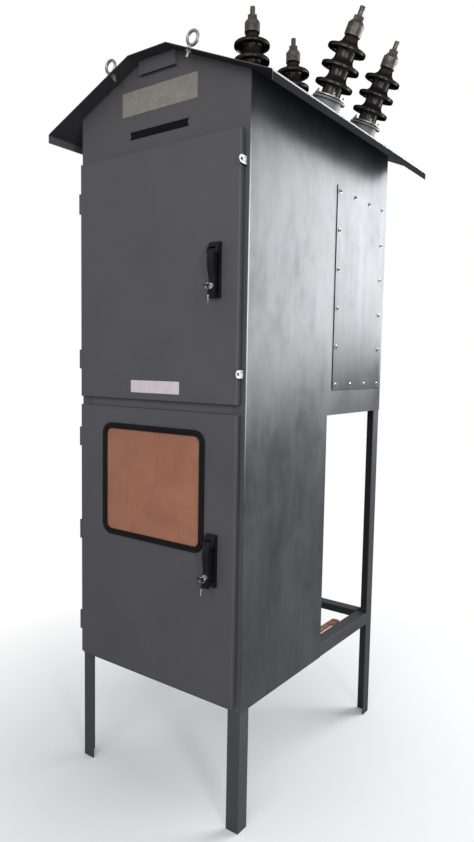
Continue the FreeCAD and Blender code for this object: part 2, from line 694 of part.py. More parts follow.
def hinges():
    """Lift-off hinges: the lower knuckle and pin stand on the frame, the upper one on the door."""
    half = "(hinge_length / 2 - knuckle_gap / 2)"
    frame_halves = []
    for door, foot, height, inset, count in (
        ("lower", LOWER_DOOR_FOOT, "lower_door_height", "lower_hinge_inset", 3),
        ("upper", UPPER_DOOR_FOOT, "upper_door_height", "upper_hinge_inset", 2),
    ):
        door_halves = []
        for number, middle in enumerate(hinge_heights(foot, height, inset, count)):
            name = f"{door}_hinge_{number}"
            low = f"({middle} - hinge_length / 2)"
            knuckle = cylinder(name + "_fixed", "hinge_radius", half, HINGE_X, HINGE_Y, low)
            pin_length = "hinge_length - pin_short"
            pin = cylinder(name + "_pin", "hinge_pin_radius", pin_length, HINGE_X, HINGE_Y, low)
            tab_x = f"{HINGE_X} - hinge_tab / 2"
            tab = block(name + "_tab", "hinge_tab", f"{FRONT} - {HINGE_Y}", half, tab_x, HINGE_Y, low)
            frame_halves.append(fuse(name + "_frame_half", [knuckle, pin, tab]))
            high = f"({middle} + knuckle_gap / 2)"
            outer = cylinder(name + "_moving", "hinge_radius", half, HINGE_X, HINGE_Y, high)
            leaf_y = f"{HINGE_Y} - hinge_tab / 2"
            leaf = block(name + "_leaf", "hinge_offset", "hinge_tab", half, HINGE_X, leaf_y, high)
            bore = cylinder(name + "_bore", "hinge_pin_radius + hinge_play", half, HINGE_X, HINGE_Y, high)
            door_halves.append(cut(name + "_door_half", fuse(name + "_joined", [outer, leaf]), bore))
        node(gather(f"{door}_door_halves", door_halves), f"{door}_door_hinges")
    node(gather("frame_halves", frame_halves), "frame_hinges")


def handle(door, middle, turn):
    """A swing handle on a door: its dish and, where it stands, its lever with lock and keys."""
    pin_z = f"({middle} + handle_pivot)"
    node(handle_dish(door, pin_z), f"{door}_handle_plate")
    lever = lever_body(door)
    lock = cylinder(f"{door}_barrel", "lock_radius", LOCK_FACE, "0", "0", "-lock_drop")
    lean(lock, "90", (1, 0, 0))
    for label, pieces in (("lever", [lever]), ("lock", [lock]), ("keys", keys(door))):
        group = gather(f"{door}_{label}_group", pieces)
        place(group, HANDLE_X, LEVER_PIN_Y, pin_z)
        lean(group, f"-({turn})", (1, 0, 0))
        node(group, f"{door}_{label}")


def handle_dish(door, pin_z):
    """The handle's plate, dished behind the lever, with the cheeks that hold its pin."""
    body = new_body(f"{door}_dish")
    behind = "(lever_back + lever_gap + handle_floor)"
    face = f"({behind} - handle_plate)"
    top, foot = "(handle_height / 2 - handle_pivot)", "(-handle_height / 2 - handle_pivot)"
    base = new_sketch(body, "XZ_Plane")
    base.setExpression("AttachmentOffset.Base.z", bound(f"-{behind}"))
    rectangle(base, "-handle_width / 2", "handle_width / 2", foot, top)
    base_plate = extrude(body, "Pad", base, "handle_plate")
    thick = value("handle_plate")
    round_edges(body, base_plate, "handle_corner", lambda edge: near(edge.BoundBox.YLength, thick))
    cheeks = new_sketch(body, "YZ_Plane")
    polygon(cheeks, [
        (face, top), ("-lever_brow", "lever_head"), ("-cheek_front", "-cheek_drop"), (face, "-cheek_drop"),
    ])
    extrude(body, "Pad", cheeks, "handle_width", both=True)
    floor = f"(-{behind} + handle_floor)"
    slot = new_sketch(body, "XZ_Plane")
    slot.setExpression("AttachmentOffset.Base.z", bound(floor))
    half = "(lever_width / 2 + cheek_gap)"
    rectangle(slot, f"-{half}", half, f"{foot} + dish_foot", "lever_head + head_gap")
    extrude(body, "Pocket", slot, "handle_height", back=True)
    dish = new_sketch(body, "XZ_Plane")
    dish.setExpression("AttachmentOffset.Base.z", bound(floor))
    half = "(lever_width / 2 + lever_gap)"
    rectangle(dish, f"-{half}", half, f"{foot} + dish_foot", "-cheek_drop")
    extrude(body, "Pocket", dish, "handle_plate", back=True)
    pin = new_sketch(body, "YZ_Plane")
    circle(pin, "0", "0", "lever_pin_radius")
    extrude(body, "Pad", pin, "handle_width - 2 * cheek_gap", both=True)
    place(body, HANDLE_X, LEVER_PIN_Y, pin_z)
    return body


def lever_body(door):
    """The lever from its pin, humped at the top and flat along its grip."""
    body = new_body(f"{door}_lever_body")
    side = new_sketch(body, "YZ_Plane")
    polygon(side, [
        ("lever_back", "lever_head"), ("lever_back", "-lever_length + grip_length"),
        ("lever_back - lever_gap", "-lever_length + grip_length - lever_gap"),
        ("lever_back - lever_gap", "-lever_length"), ("-tip_front", "-lever_length"),
        ("-grip_front", "-grip_drop"), ("-hump_front", "-hump_foot"), ("-hump_front", "-hump_top"),
        ("-lever_brow", "lever_head"),
    ])
    blank = extrude(body, "Pad", side, "lever_width", both=True)
    hump, grip = -value("hump_front"), -value("grip_front")
    width = value("lever_width")
    round_edges(body, blank, "hump_round", lambda edge: near(edge.BoundBox.XLength, width) and (
        near(edge.BoundBox.YMin, hump) or near(edge.BoundBox.YMin, grip)))
    bore = new_sketch(body, "YZ_Plane")
    circle(bore, "0", "0", "lever_pin_radius + lever_play")
    extrude(body, "Pocket", bore, "lever_width * 2", both=True)
    seat = new_sketch(body, "XZ_Plane")
    circle(seat, "0", "-lock_drop", "lock_radius")
    extrude(body, "Pocket", seat, "lever_width", back=True)
    return body


def keys(door):
    """One key in the lock, and a second that hangs from it by a ring."""
    bow_y = f"(-{LOCK_FACE} - key_neck - key_bow / 2)"
    hole_y = f"({bow_y} - key_hole_inset)"
    bow = cylinder(f"{door}_first_bow", "key_bow / 2", "key_gauge", "0", bow_y, "-lock_drop - key_gauge / 2")
    blade = block(f"{door}_first_blade", "key_blade_width", "key_neck + key_root", "key_blade",
                  "-key_blade_width / 2", f"-{LOCK_FACE} - key_neck - key_root", "-lock_drop - key_blade / 2")
    hole = cylinder(f"{door}_first_hole", "key_hole", "key_gauge * 2", "0", hole_y, "-lock_drop - key_gauge")
    first = cut(f"{door}_first_key", fuse(f"{door}_first_whole", [bow, blade]), hole)

    across = "sqrt(key_ring * key_ring - ring_hang * ring_hang)"
    hang = "(-ring_hang - key_ring)"
    ring = torus(f"{door}_split_ring", "key_ring", "key_wire", across, "0", "-ring_hang")
    bow = cylinder(f"{door}_second_bow", "key_bow / 2", "key_gauge", f"{across} - key_gauge / 2", "0",
                   f"{hang} - key_hole_inset")
    lean(bow, "90")
    hole = cylinder(f"{door}_second_hole", "key_hole", "key_gauge * 2", f"{across} - key_gauge", "0", hang)
    lean(hole, "90")
    blade = block(f"{door}_second_blade", "key_blade", "key_blade_width", "key_length + key_root",
                  f"{across} - key_blade / 2", "-key_blade_width / 2",
                  f"{hang} - key_hole_inset - key_bow / 2 - key_length")
    second = cut(f"{door}_second_key", fuse(f"{door}_second_whole", [bow, blade]), hole)
    hung = gather(f"{door}_hung", [ring, second])
    place(hung, "0", hole_y, "-lock_drop")
    lean(hung, "ring_turn", (0, 0, 1))
    return [first, hung]


def padlock_lugs():
    """Plated lugs on the frame beside the upper door's free edge."""
    lugs = []
    heights = {"upper": f"{UPPER_DOOR_TOP} - lug_inset", "lower": f"{UPPER_DOOR_FOOT} + lug_inset"}
    for name, height in heights.items():
        body = new_body(f"{name}_lug")
        sketch = new_sketch(body, "YZ_Plane")
        polygon(sketch, box_outline("-lug_reach", "0", "-lug_height / 2", "lug_height / 2"))
        circle(sketch, "-lug_reach + lug_height / 2", "0", "lug_hole_radius")
        blank = extrude(body, "Pad", sketch, "lug_gauge", both=True)
        tip, gauge = -value("lug_reach"), value("lug_gauge")
        round_edges(body, blank, "lug_round",
                    lambda edge: near(edge.BoundBox.YMax, tip) and near(edge.BoundBox.XLength, gauge) and
                    near(edge.BoundBox.ZLength, 0))
        place(body, "(body_width / 2 - door_margin / 2)", FRONT, height)
        lugs.append(body)
    node(gather("lug_pair", lugs), "padlock_lugs")


def bushing_feet():
    """Place and lean of each bushing, from the front left to the rear right."""
    for row_name, row in (("front", 0), ("rear", 1)):
        y = f"({FRONT} + bushing_first + {row} * bushing_pitch)"
        yield f"{row_name}_left", "-bushing_side", y, roof_outside("bushing_side"), "-roof_slope"
        yield f"{row_name}_middle", "0", y, ROOF_TOP, "0"
        yield f"{row_name}_right", "bushing_side", y, roof_outside("bushing_side"), "roof_slope"


def turned(name, corners):
    """A body turned about its own upright axis from half an outline."""
    body = new_body(name)
    sketch = new_sketch(body, "XZ_Plane")
    polygon(sketch, corners)
    revolve(body, sketch)
    return body


def turret(name):
    """The steel tube and flange that carry a bushing."""
    bore = "(turret_radius - turret_gauge)"
    return turned(name + "_turret", [
        (bore, "0"), ("turret_radius", "0"), ("turret_radius", "turret_height"),
        ("turret_flange_radius", "turret_height"), ("turret_flange_radius", BUSHING_SEAT),
        ("turret_mouth", BUSHING_SEAT), ("turret_mouth", "turret_height"), (bore, "turret_height"),
    ])


def porcelain(name):
    """Ribbed porcelain: a stem with a row of sheds, each with a drip lip and an inner skirt."""
    top_shed = f"({BUSHING_SEAT} + shed_first + shed_pitch * (shed_count - 1))"
    crown = f"({BUSHING_SEAT} + porcelain_height)"
    body = turned(name + "_porcelain", [
        ("0", BUSHING_SEAT), ("porcelain_foot_radius", BUSHING_SEAT),
        ("porcelain_foot_radius", f"{BUSHING_SEAT} + porcelain_foot"),
        ("porcelain_barrel", f"{BUSHING_SEAT} + porcelain_foot"),
        ("porcelain_barrel", f"{BUSHING_SEAT} + shed_first"),
        ("porcelain_core", f"{BUSHING_SEAT} + shed_first + shed_lip"),
        ("porcelain_core", f"{top_shed} + shed_rise"),
        ("porcelain_neck", f"{top_shed} + shed_rise + shed_lip"), ("porcelain_neck", crown), ("0", crown),
    ])
    rim = f"({BUSHING_SEAT} + shed_first)"
    root = "(porcelain_core - shed_lip)"
    skirt = "(shed_radius - shed_skirt)"
    shed = new_sketch(body, "XZ_Plane")
    polygon(shed, [
        (root, f"{rim} - shed_lip / 2"), (f"{skirt} - 2 * shed_lip", rim),
        (f"{skirt} - shed_lip", f"{rim} - skirt_drop"), (skirt, f"{rim} - skirt_drop"),
        (f"{skirt} + shed_lip / 2", rim), ("shed_radius - 2 * shed_lip", rim),
        ("shed_radius - shed_lip", f"{rim} - shed_drop"),
        ("shed_radius - shed_lip / 4", f"{rim} - shed_drop"),
        ("shed_radius", f"{rim} - shed_drop + shed_lip / 2"), ("shed_radius", rim),
        ("shed_radius - shed_lip", f"{rim} + shed_lip"),
        ("porcelain_core + shed_lip", f"{rim} + shed_rise - 2 * shed_lip"), (root, f"{rim} + shed_rise"),
    ])
    lowest = revolve(body, shed)
    pattern = body.newObject("PartDesign::LinearPattern", name + "_sheds")
    pattern.Originals = [lowest]
    pattern.Direction = (origin_feature(body, "Z_Axis"), [""])
    pattern.setExpression("Length", bound("shed_pitch * (shed_count - 1)"))
    pattern.setExpression("Occurrences", bound("shed_count"))
    body.Tip = pattern
    return body


def clamp(name):
    """The ring that holds the porcelain's foot down on the turret."""
    low, high = f"({BUSHING_SEAT} + porcelain_foot)", f"({BUSHING_SEAT} + porcelain_foot + clamp_gauge)"
    bore = "(porcelain_barrel + clamp_play)"
    return turned(name + "_clamp", box_outline(bore, "clamp_radius", low, high))


def terminal(name):
    """The metal cap on the porcelain, with its nut and stud."""
    foot = f"({BUSHING_SEAT} + porcelain_height)"
    top = f"({foot} + cap_height)"
    cap = turned(name + "_cap", [
        ("0", foot), ("cap_radius", foot), ("cap_radius", f"{top} - cap_shoulder"), ("nut_radius", top),
        ("0", top),
    ])
    nut = hexagon(name + "_nut", "nut_radius", "nut_height", top)
    tip = f"{top} + nut_height + stud_height"
    stud = turned(name + "_stud", [
        ("0", top), ("stud_radius", top), ("stud_radius", f"{tip} - stud_bevel"),
        ("stud_radius - stud_bevel", tip), ("0", tip),
    ])
    return fuse(name + "_terminal", [cap, nut, stud])


def bushings():
    """Six bushings, each with its turret, clamp ring and terminal."""
    turrets, clamps, terminals = [], [], []
    for name, x, y, z, angle in bushing_feet():
        whole = porcelain(name)
        node(whole, f"{name}_bushing")
        turrets.append(turret(name))
        clamps.append(clamp(name))
        terminals.append(terminal(name))
        for piece in (whole, turrets[-1], clamps[-1], terminals[-1]):
            place(piece, x, y, z)
            if angle != "0":
                lean(piece, angle)
    node(gather("turret_set", turrets), "bushing_turrets")
    node(gather("clamp_set", clamps), "bushing_clamps")
    node(gather("terminal_set", terminals), "bushing_terminals")


def eye_bolts():
    """Lifting eyes through the roof's front and rear overhangs."""
    bolts = []
    for name, side, y in eye_places():
        ring = torus(name + "_ring", "eye_ring", "eye_wire", "0", "0", "eye_neck + eye_ring + eye_wire")
        shank = cylinder(name + "_shank", "eye_shank", "eye_neck + eye_wire + roof_sheet + eye_tail",
                         "0", "0", "-roof_sheet - eye_tail")
        collar = cylinder(name + "_collar", "eye_nut_radius", "eye_neck / 2", "0", "0", "0")
        nut = hexagon(name + "_nut", "eye_nut_radius", "eye_nut", "-roof_sheet - eye_nut")
        bolt = fuse(name, [ring, shank, collar, nut])
        place(bolt, f"{side} * eye_side", y, roof_outside("eye_side"))
        lean(bolt, f"{side} * roof_slope")
        bolts.append(bolt)
    node(gather("eye_set", bolts), "eye_bolts")


def earthing_bar():
    """Copper bar from the meter compartment's back, turned down at its end."""
    body = new_body("earth_bar_body")
    side = new_sketch(body, "YZ_Plane")
    polygon(side, [
        ("0", "0"), ("earth_reach - earth_gauge", "0"), ("earth_reach - earth_gauge", "-earth_drop"),
        ("earth_reach", "-earth_drop"), ("earth_reach", "earth_gauge"), ("0", "earth_gauge"),
    ])
    extrude(body, "Pad", side, "earth_width", both=True)
    hole = new_sketch(body, "XY_Plane")
    circle(hole, "0", "earth_reach - earth_hole_inset", "earth_hole_radius")
    extrude(body, "Pocket", hole, "earth_gauge * 3", both=True)
    place(body, f"{INNER} - earth_inset", f"{FRONT} + lower_depth", "leg_clear + earth_rise")
    node(body, "earthing_bar")


corner_posts()
base_rails()
side_walls()
end_walls()
front_frame()
floors()
roof()
vent_hood()
door_pan("lower_door", LOWER_DOOR_FOOT, "lower_door_height", window=True)
door_pan("upper_door", UPPER_DOOR_FOOT, "upper_door_height", window=False)
window()
hinges()
handle("lower", f"({LOWER_DOOR_FOOT} + lower_door_height / 2)", "lower_lever_turn")
handle("upper", f"({UPPER_DOOR_FOOT} + upper_door_height / 2)", "0")
padlock_lugs()
bushings()
eye_bolts()
earthing_bar()
doc.recompute()

for thing in doc.Objects:
    if "Invalid" in thing.State or "Error" in thing.State:
        raise RuntimeError(f"{thing.Name} did not build: {thing.State}")
for piece in NODES:
    if piece.Shape.isNull() or not piece.Shape.isValid():
        raise RuntimeError(f"{piece.Label} has no valid shape")

os.makedirs("parts", exist_ok=True)
for piece in NODES:
    piece.Shape.exportStep(f"parts/{piece.Label}.step")
    print(piece.Label, len(piece.Shape.Solids), round(piece.Shape.Volume))
print(len(NODES), "nodes")
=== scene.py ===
import math

import bmesh
import bpy
from mathutils import Matrix, Vector


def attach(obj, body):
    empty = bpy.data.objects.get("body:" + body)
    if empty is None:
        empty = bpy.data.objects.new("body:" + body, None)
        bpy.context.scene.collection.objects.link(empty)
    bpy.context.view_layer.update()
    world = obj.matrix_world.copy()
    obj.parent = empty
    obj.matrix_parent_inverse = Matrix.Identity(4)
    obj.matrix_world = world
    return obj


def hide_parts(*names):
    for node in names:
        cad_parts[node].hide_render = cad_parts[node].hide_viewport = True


# Looks of the outdoor switchgear kiosk. Metres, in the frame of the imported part: X to the right
# as one faces the doors, Y to the rear, Z up from the ground.

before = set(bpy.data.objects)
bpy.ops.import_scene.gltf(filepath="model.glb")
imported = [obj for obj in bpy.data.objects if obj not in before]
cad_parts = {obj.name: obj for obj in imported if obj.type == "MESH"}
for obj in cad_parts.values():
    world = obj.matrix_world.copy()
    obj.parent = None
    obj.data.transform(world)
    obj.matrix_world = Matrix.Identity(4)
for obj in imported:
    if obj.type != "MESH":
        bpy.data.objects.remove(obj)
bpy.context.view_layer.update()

# Sizes shared with the part's source. LEVER_TURN and RING_TURN are in degrees.
BODY_HALF = 0.375
FRONT = -0.515
DOOR_FACE = -0.540
DOOR_HALF = 0.357
LOWER_DOOR_FOOT = 0.435
LOWER_DOOR_HEIGHT = 0.949
WINDOW_MARGIN = 0.122
WINDOW_DROP = 0.058
WINDOW_HALF = 0.2025
ROOF_TOP = 2.545
ROOF_SHEET = 0.002
ROOF_FRONT, ROOF_REAR = -0.576, 0.614
FLAT_HALF = 0.084
SLOPE = math.radians(23.5)
EAVE_X = 0.490
EAVE_LIP = 0.031
PANEL_GAUGE = 0.003
PANEL_Y = (0.045, 0.457)
PANEL_Z = (1.448, 2.207)
FLANGE_TOP = 0.066
CLAMP_TOP = FLANGE_TOP + 0.009
BUSHING_SIDE = 0.320
BUSHING_ROWS = (0.012, 0.317)
PORCELAIN_HEIGHT = 0.214
SHED_FIRST = 0.049
SHED_PITCH = 0.060
SHED_COUNT = 3
HANDLE_X = 0.271
LEVER_PIN_Y = -0.554
LEVER_PIN_Z = {"lower": 0.9675, "upper": 1.8885}
LEVER_TURN = {"lower": 6.0, "upper": 0.0}
LOCK_DROP = 0.108
LOCK_FACE = 0.013
KEY_NECK = 0.008
KEY_BOW = 0.012
KEY_GAUGE = 0.003
KEY_HOLE_INSET = 0.006
KEY_BLADE = 0.0022
KEY_BLADE_WIDTH = 0.007
KEY_LENGTH = 0.024
RING = 0.009
RING_HANG = 0.003
RING_TURN = 36

# Sizes of the fittings and rounded bends that only this script makes.
SCREW_INSET = 0.020
STUD_CIRCLE = 0.0495
BEAD_INSET = 0.0145
BEAD_CORNER = 0.0275
BEAD_PROUD = 0.0062
BEAD_RADIUS = 0.0032
RING_WIRE = 0.0007
RING_COIL = 0.0005
KEY_HOLE = 0.0022
KEY_SHOWN = 0.006
KEY_CUTS = 5
EAVE_BEND = 0.010
RIDGE_BEND = 0.006
BEND_STEPS = 6

# Left, right, foot, head and gauge of the flat pieces on the front.
NAME_PLATE = (-0.167, 0.167, 2.379, 2.459, 0.0012)
STRIP = (-0.130, 0.132, 2.299, 2.324, 0.0015)
STICKER = (-0.098, 0.123, 1.438, 1.480, 0.0006)
STRIP_NOTCH = 0.006
RIVET_INSET = 0.007


def roof_height(x):
    """Height of the roof's outside above a place across the body."""
    return ROOF_TOP - max(0.0, abs(x) - FLAT_HALF) * math.tan(SLOPE)


# Materials.

class Finish:
    """A node material with one Principled shader and helpers that wire textures into it."""

    def __init__(self, name, color, roughness, metallic=0.0, **numbers):
        self.material = bpy.data.materials.new(name)
        self.material.use_nodes = True
        self.nodes = self.material.node_tree.nodes
        self.links = self.material.node_tree.links
        self.shader = self.nodes["Principled BSDF"]
        self.set("Base Color", (*color, 1))
        self.set("Roughness", roughness)
        self.set("Metallic", metallic)
        for socket, number in numbers.items():
            self.set(socket.replace("_", " "), number)
        self.place = self.nodes.new("ShaderNodeTexCoord").outputs["Object"]
        self.normal = None

    def set(self, socket, amount):
        """Set a constant on the shader."""
        self.shader.inputs[socket].default_value = amount

    def noise(self, scale, detail=3.0, roughness=0.5, stretch=(1, 1, 1), shift=(0, 0, 0), distortion=0.0):
        """A noise from 0 to 1 in the object's own space."""
        mapping = self.nodes.new("ShaderNodeMapping")
        mapping.inputs["Scale"].default_value = stretch
        mapping.inputs["Location"].default_value = shift
        self.links.new(self.place, mapping.inputs["Vector"])
        node = self.nodes.new("ShaderNodeTexNoise")
        node.inputs["Scale"].default_value = scale
        node.inputs["Detail"].default_value = detail
        node.inputs["Roughness"].default_value = roughness
        node.inputs["Distortion"].default_value = distortion
        self.links.new(mapping.outputs["Vector"], node.inputs["Vector"])
        return node.outputs["Fac"]

    def spread(self, source, low, high, to_low=0.0, to_high=1.0):
        """Map a range of a value to another range, clamped."""
        node = self.nodes.new("ShaderNodeMapRange")
        ends = (("From Min", low), ("From Max", high), ("To Min", to_low), ("To Max", to_high))
        for socket, amount in ends:
            node.inputs[socket].default_value = amount
        self.links.new(source, node.inputs["Value"])
        return node.outputs["Result"]

    def math(self, operation, one, two):
        """Combine two values, each a socket or a number."""
        node = self.nodes.new("ShaderNodeMath")
        node.operation = operation
        for socket, amount in zip(node.inputs, (one, two)):
            if isinstance(amount, (int, float)):
                socket.default_value = amount
            else:
                self.links.new(amount, socket)
        return node.outputs["Value"]

    def along(self, axis):
        """The place of each point along one axis."""
        node = self.nodes.new("ShaderNodeSeparateXYZ")
        self.links.new(self.place, node.inputs["Vector"])
        return node.outputs[axis]

    def facing(self, axis):
        """How far each face turns towards one axis."""
        node = self.nodes.new("ShaderNodeNewGeometry")
        split = self.nodes.new("ShaderNodeSeparateXYZ")
        self.links.new(node.outputs["Normal"], split.inputs["Vector"])
        return split.outputs[axis]

    def mix(self, factor, one, two):
        """Blend two colours, each a socket or a colour."""
        node = self.nodes.new("ShaderNodeMix")
        node.data_type = "RGBA"
        self.links.new(factor, node.inputs["Factor"])
        for name, amount in (("A", one), ("B", two)):
            socket = [s for s in node.inputs if s.name == name and s.type == "RGBA"][0]
            if isinstance(amount, tuple):
                socket.default_value = (*amount, 1)
            else:
                self.links.new(amount, socket)
        return [s for s in node.outputs if s.type == "RGBA"][0]

    def color(self, source):
        self.links.new(source, self.shader.inputs["Base Color"])

    def rough(self, source):
        self.links.new(source, self.shader.inputs["Roughness"])

    def shine(self, source):
        self.links.new(source, self.shader.inputs["Specular IOR Level"])

    def bump(self, source, strength, distance):
        """Add a bump to those already there."""
        node = self.nodes.new("ShaderNodeBump")
        node.inputs["Strength"].default_value = strength
        node.inputs["Distance"].default_value = distance
        self.links.new(source, node.inputs["Height"])
        if self.normal is not None:
            self.links.new(self.normal, node.inputs["Normal"])
        self.normal = node.outputs["Normal"]
        self.links.new(self.normal, self.shader.inputs["Normal"])


def paint(name, light, dark, rough_low, rough_high, waves, dust=0.0, painted_under_shade=None, shine=0.5, patchy=0.0,
          edge=False, rear=None, sides=None, fade=None):
    """Grey paint on sheet steel: fine orange peel, clouds and runs on the sheet and gentle waves in it.

    dust lies on faces that look up. The three colours for faces that look down, on the left, on the
    right and inside the lip, are painted shade and painted light. patchy varies the sheen, which fade
    dims towards the foot. edge paints a highlight on the front corners, rear is painted shade towards
    the back, and sides is painted light on faces that don't look to the front.
    """
    finish = Finish(name, light, rough_low, Specular_IOR_Level=shine)
    runs = finish.noise(7.0, 4.0, 0.6, stretch=(2.0, 2.0, 0.45), shift=(1.3, 0.4, 0.0), distortion=0.8)
    clouds = finish.noise(4.6, 6.0, 0.64, stretch=(1.0, 1.0, 0.75), shift=(0.0, 3.1, 0.7), distortion=0.4)
    tone = finish.mix(finish.spread(clouds, 0.3, 0.7), dark, light)
    if dust:
        flat = finish.spread(finish.facing("Z"), 0.2, 0.95)
        settled = finish.math("MULTIPLY", flat, finish.spread(runs, 0.25, 0.8, 0.3, 1.0))
        tone = finish.mix(finish.math("MULTIPLY", settled, dust), tone, (0.20, 0.19, 0.175))
    # Painted shade: the colour darkens towards the back.
    if rear:
        tone = finish.mix(finish.spread(finish.along("Y"), -0.2, 0.3), tone, rear)
    # Painted light on faces that don't look to the front.
    if sides:
        tone = finish.mix(finish.spread(finish.facing("Y"), -0.9, -0.6), tone, sides)
    # Painted shade and painted light on faces that look down: darker on the right, lighter inside the lips
    # and on the sheet's cut ends.
    if painted_under_shade:
        left, right, inner_lip = painted_under_shade
        shade = finish.mix(finish.spread(finish.along("X"), -0.1, 0.2), left, right)
        upright = finish.spread(finish.math("ABSOLUTE", finish.facing("Z"), 0), 0.3, 0.1)
        shade = finish.mix(upright, shade, inner_lip)
        tone = finish.mix(finish.spread(finish.facing("Z"), 0.55, 0.15), tone, shade)
    # Painted highlight: a pale band down the front corners, between about 1.1 and 2.3 m up.
    if edge:
        height = finish.along("Z")
        painted_highlight_band = finish.math("MULTIPLY", finish.spread(height, 1.1, 1.7), finish.spread(height, 2.30, 1.95))
        corner = finish.spread(finish.along("Y"), FRONT + 0.0050, FRONT + 0.0042)
        tone = finish.mix(finish.math("MULTIPLY", painted_highlight_band, corner), tone, (0.50, 0.52, 0.52))
    finish.color(tone)
    mottle = finish.math("ADD", finish.spread(runs, 0.3, 0.7, 0.0, 0.3),
                         finish.spread(clouds, 0.3, 0.7, 0.0, 0.7))
    finish.rough(finish.spread(mottle, 0.1, 0.9, rough_low, rough_high))
    if patchy:
        fine = finish.noise(26.0, 5.0, 0.65, stretch=(1.0, 1.0, 0.6), shift=(0.4, 0.2, 0.9))
        cast = finish.math("ADD", finish.math("MULTIPLY", mottle, 0.7), finish.math("MULTIPLY", fine, 0.3))
        cast = finish.spread(cast, 0.25, 0.65, shine - patchy, shine + patchy)
        if fade:
            cast = finish.math("MULTIPLY", cast, finish.spread(finish.along("Z"), *fade))
        finish.shine(cast)
    finish.bump(finish.noise(420.0, 2.0), 0.10, 0.0004)
    finish.bump(finish.noise(1.6, 2.0, 0.4, stretch=(3.2, 3.2, 0.55)), waves, 0.012)
    return finish.material


def glaze():
    """Dark brown porcelain glaze, dusty on its upper sides."""
    finish = Finish("brown_glaze", (0.014, 0.008, 0.008), 0.34, Specular_IOR_Level=0.35)
    rim = finish.nodes.new("ShaderNodeLayerWeight")
    rim.inputs["Blend"].default_value = 0.5
    finish.shine(finish.spread(rim.outputs["Facing"], 0.25, 0.50, 0.42, 0.0))
    flow = finish.noise(14.0, 3.0, 0.5, stretch=(1, 1, 0.5))
    tone = finish.mix(finish.spread(flow, 0.3, 0.75), (0.008, 0.005, 0.005), (0.022, 0.012, 0.010))
    flat = finish.spread(finish.facing("Z"), 0.1, 0.9)
    dust = finish.math("MULTIPLY", flat, finish.spread(finish.noise(60.0, 4.0), 0.3, 0.7))
    finish.color(finish.mix(finish.math("MULTIPLY", dust, 0.25), tone, (0.060, 0.052, 0.044)))
    finish.rough(finish.spread(dust, 0.0, 0.8, 0.26, 0.6))
    finish.bump(finish.noise(30.0, 2.0), 0.12, 0.002)
    return finish.material


def metal(name, light, dark, rough, patches):
    """Bare or plated metal with duller patches."""
    finish = Finish(name, light, rough, 0.9)
    spots = finish.noise(patches, 5.0, 0.6, distortion=0.3)
    finish.color(finish.mix(finish.spread(spots, 0.35, 0.7), dark, light))
    finish.rough(finish.spread(spots, 0.3, 0.75, rough + 0.12, rough - 0.05))
    finish.bump(finish.noise(260.0, 3.0), 0.15, 0.0004)
    return finish.material


def moulded(name, light, dark, rough, grain, depth, shine):
    """Moulded plastic or rubber with a fine grain."""
    finish = Finish(name, light, rough, Specular_IOR_Level=shine)
    tone = finish.noise(24.0, 3.0, 0.5)
    finish.color(finish.mix(finish.spread(tone, 0.3, 0.7), dark, light))
    finish.rough(finish.spread(tone, 0.3, 0.7, rough - 0.05, rough + 0.08))
    finish.bump(finish.noise(grain, 2.0), 0.25, depth)
    return finish.material


def tan_pane():
    """The window's copper-brown pane, faintly mottled and smudged."""
    finish = Finish("tan_pane", (0.355, 0.148, 0.088), 0.36, Specular_IOR_Level=0.3)
    cloud = finish.noise(7.0, 6.0, 0.62, shift=(0.2, 0.0, 0.5), distortion=0.6)
    tone = finish.mix(finish.spread(cloud, 0.3, 0.72), (0.325, 0.135, 0.080), (0.415, 0.182, 0.112))
    smudge = finish.noise(20.0, 4.0, 0.7, stretch=(1, 1, 0.35), shift=(0.7, 0.0, 0.1))
    tone = finish.mix(finish.spread(smudge, 0.56, 0.80, 0.0, 0.6), tone, (0.26, 0.108, 0.068))
    finish.color(tone)
    finish.rough(finish.spread(cloud, 0.3, 0.7, 0.30, 0.48))
    finish.bump(finish.noise(3.0, 2.0), 0.10, 0.004)
    return finish.material


def blank_plate(name, light, dark, rough, metallic=0.0, shine=0.5):
    """A plain plate or sticker, a little soiled."""
    finish = Finish(name, light, rough, metallic, Specular_IOR_Level=shine)
    tone = finish.noise(38.0, 5.0, 0.6)
    finish.color(finish.mix(finish.spread(tone, 0.3, 0.75), dark, light))
    finish.bump(finish.noise(160.0, 2.0), 0.08, 0.0004)
    return finish.material


WALL_TONES = ((0.036, 0.037, 0.042), (0.028, 0.029, 0.034))
# Painted shade and painted light for the roof's faces that look down: left, right, and inside the lips.
PAINTED_UNDER_ROOF_SHADE = ((0.050, 0.050, 0.054), (0.034, 0.034, 0.039), (0.125, 0.125, 0.132))

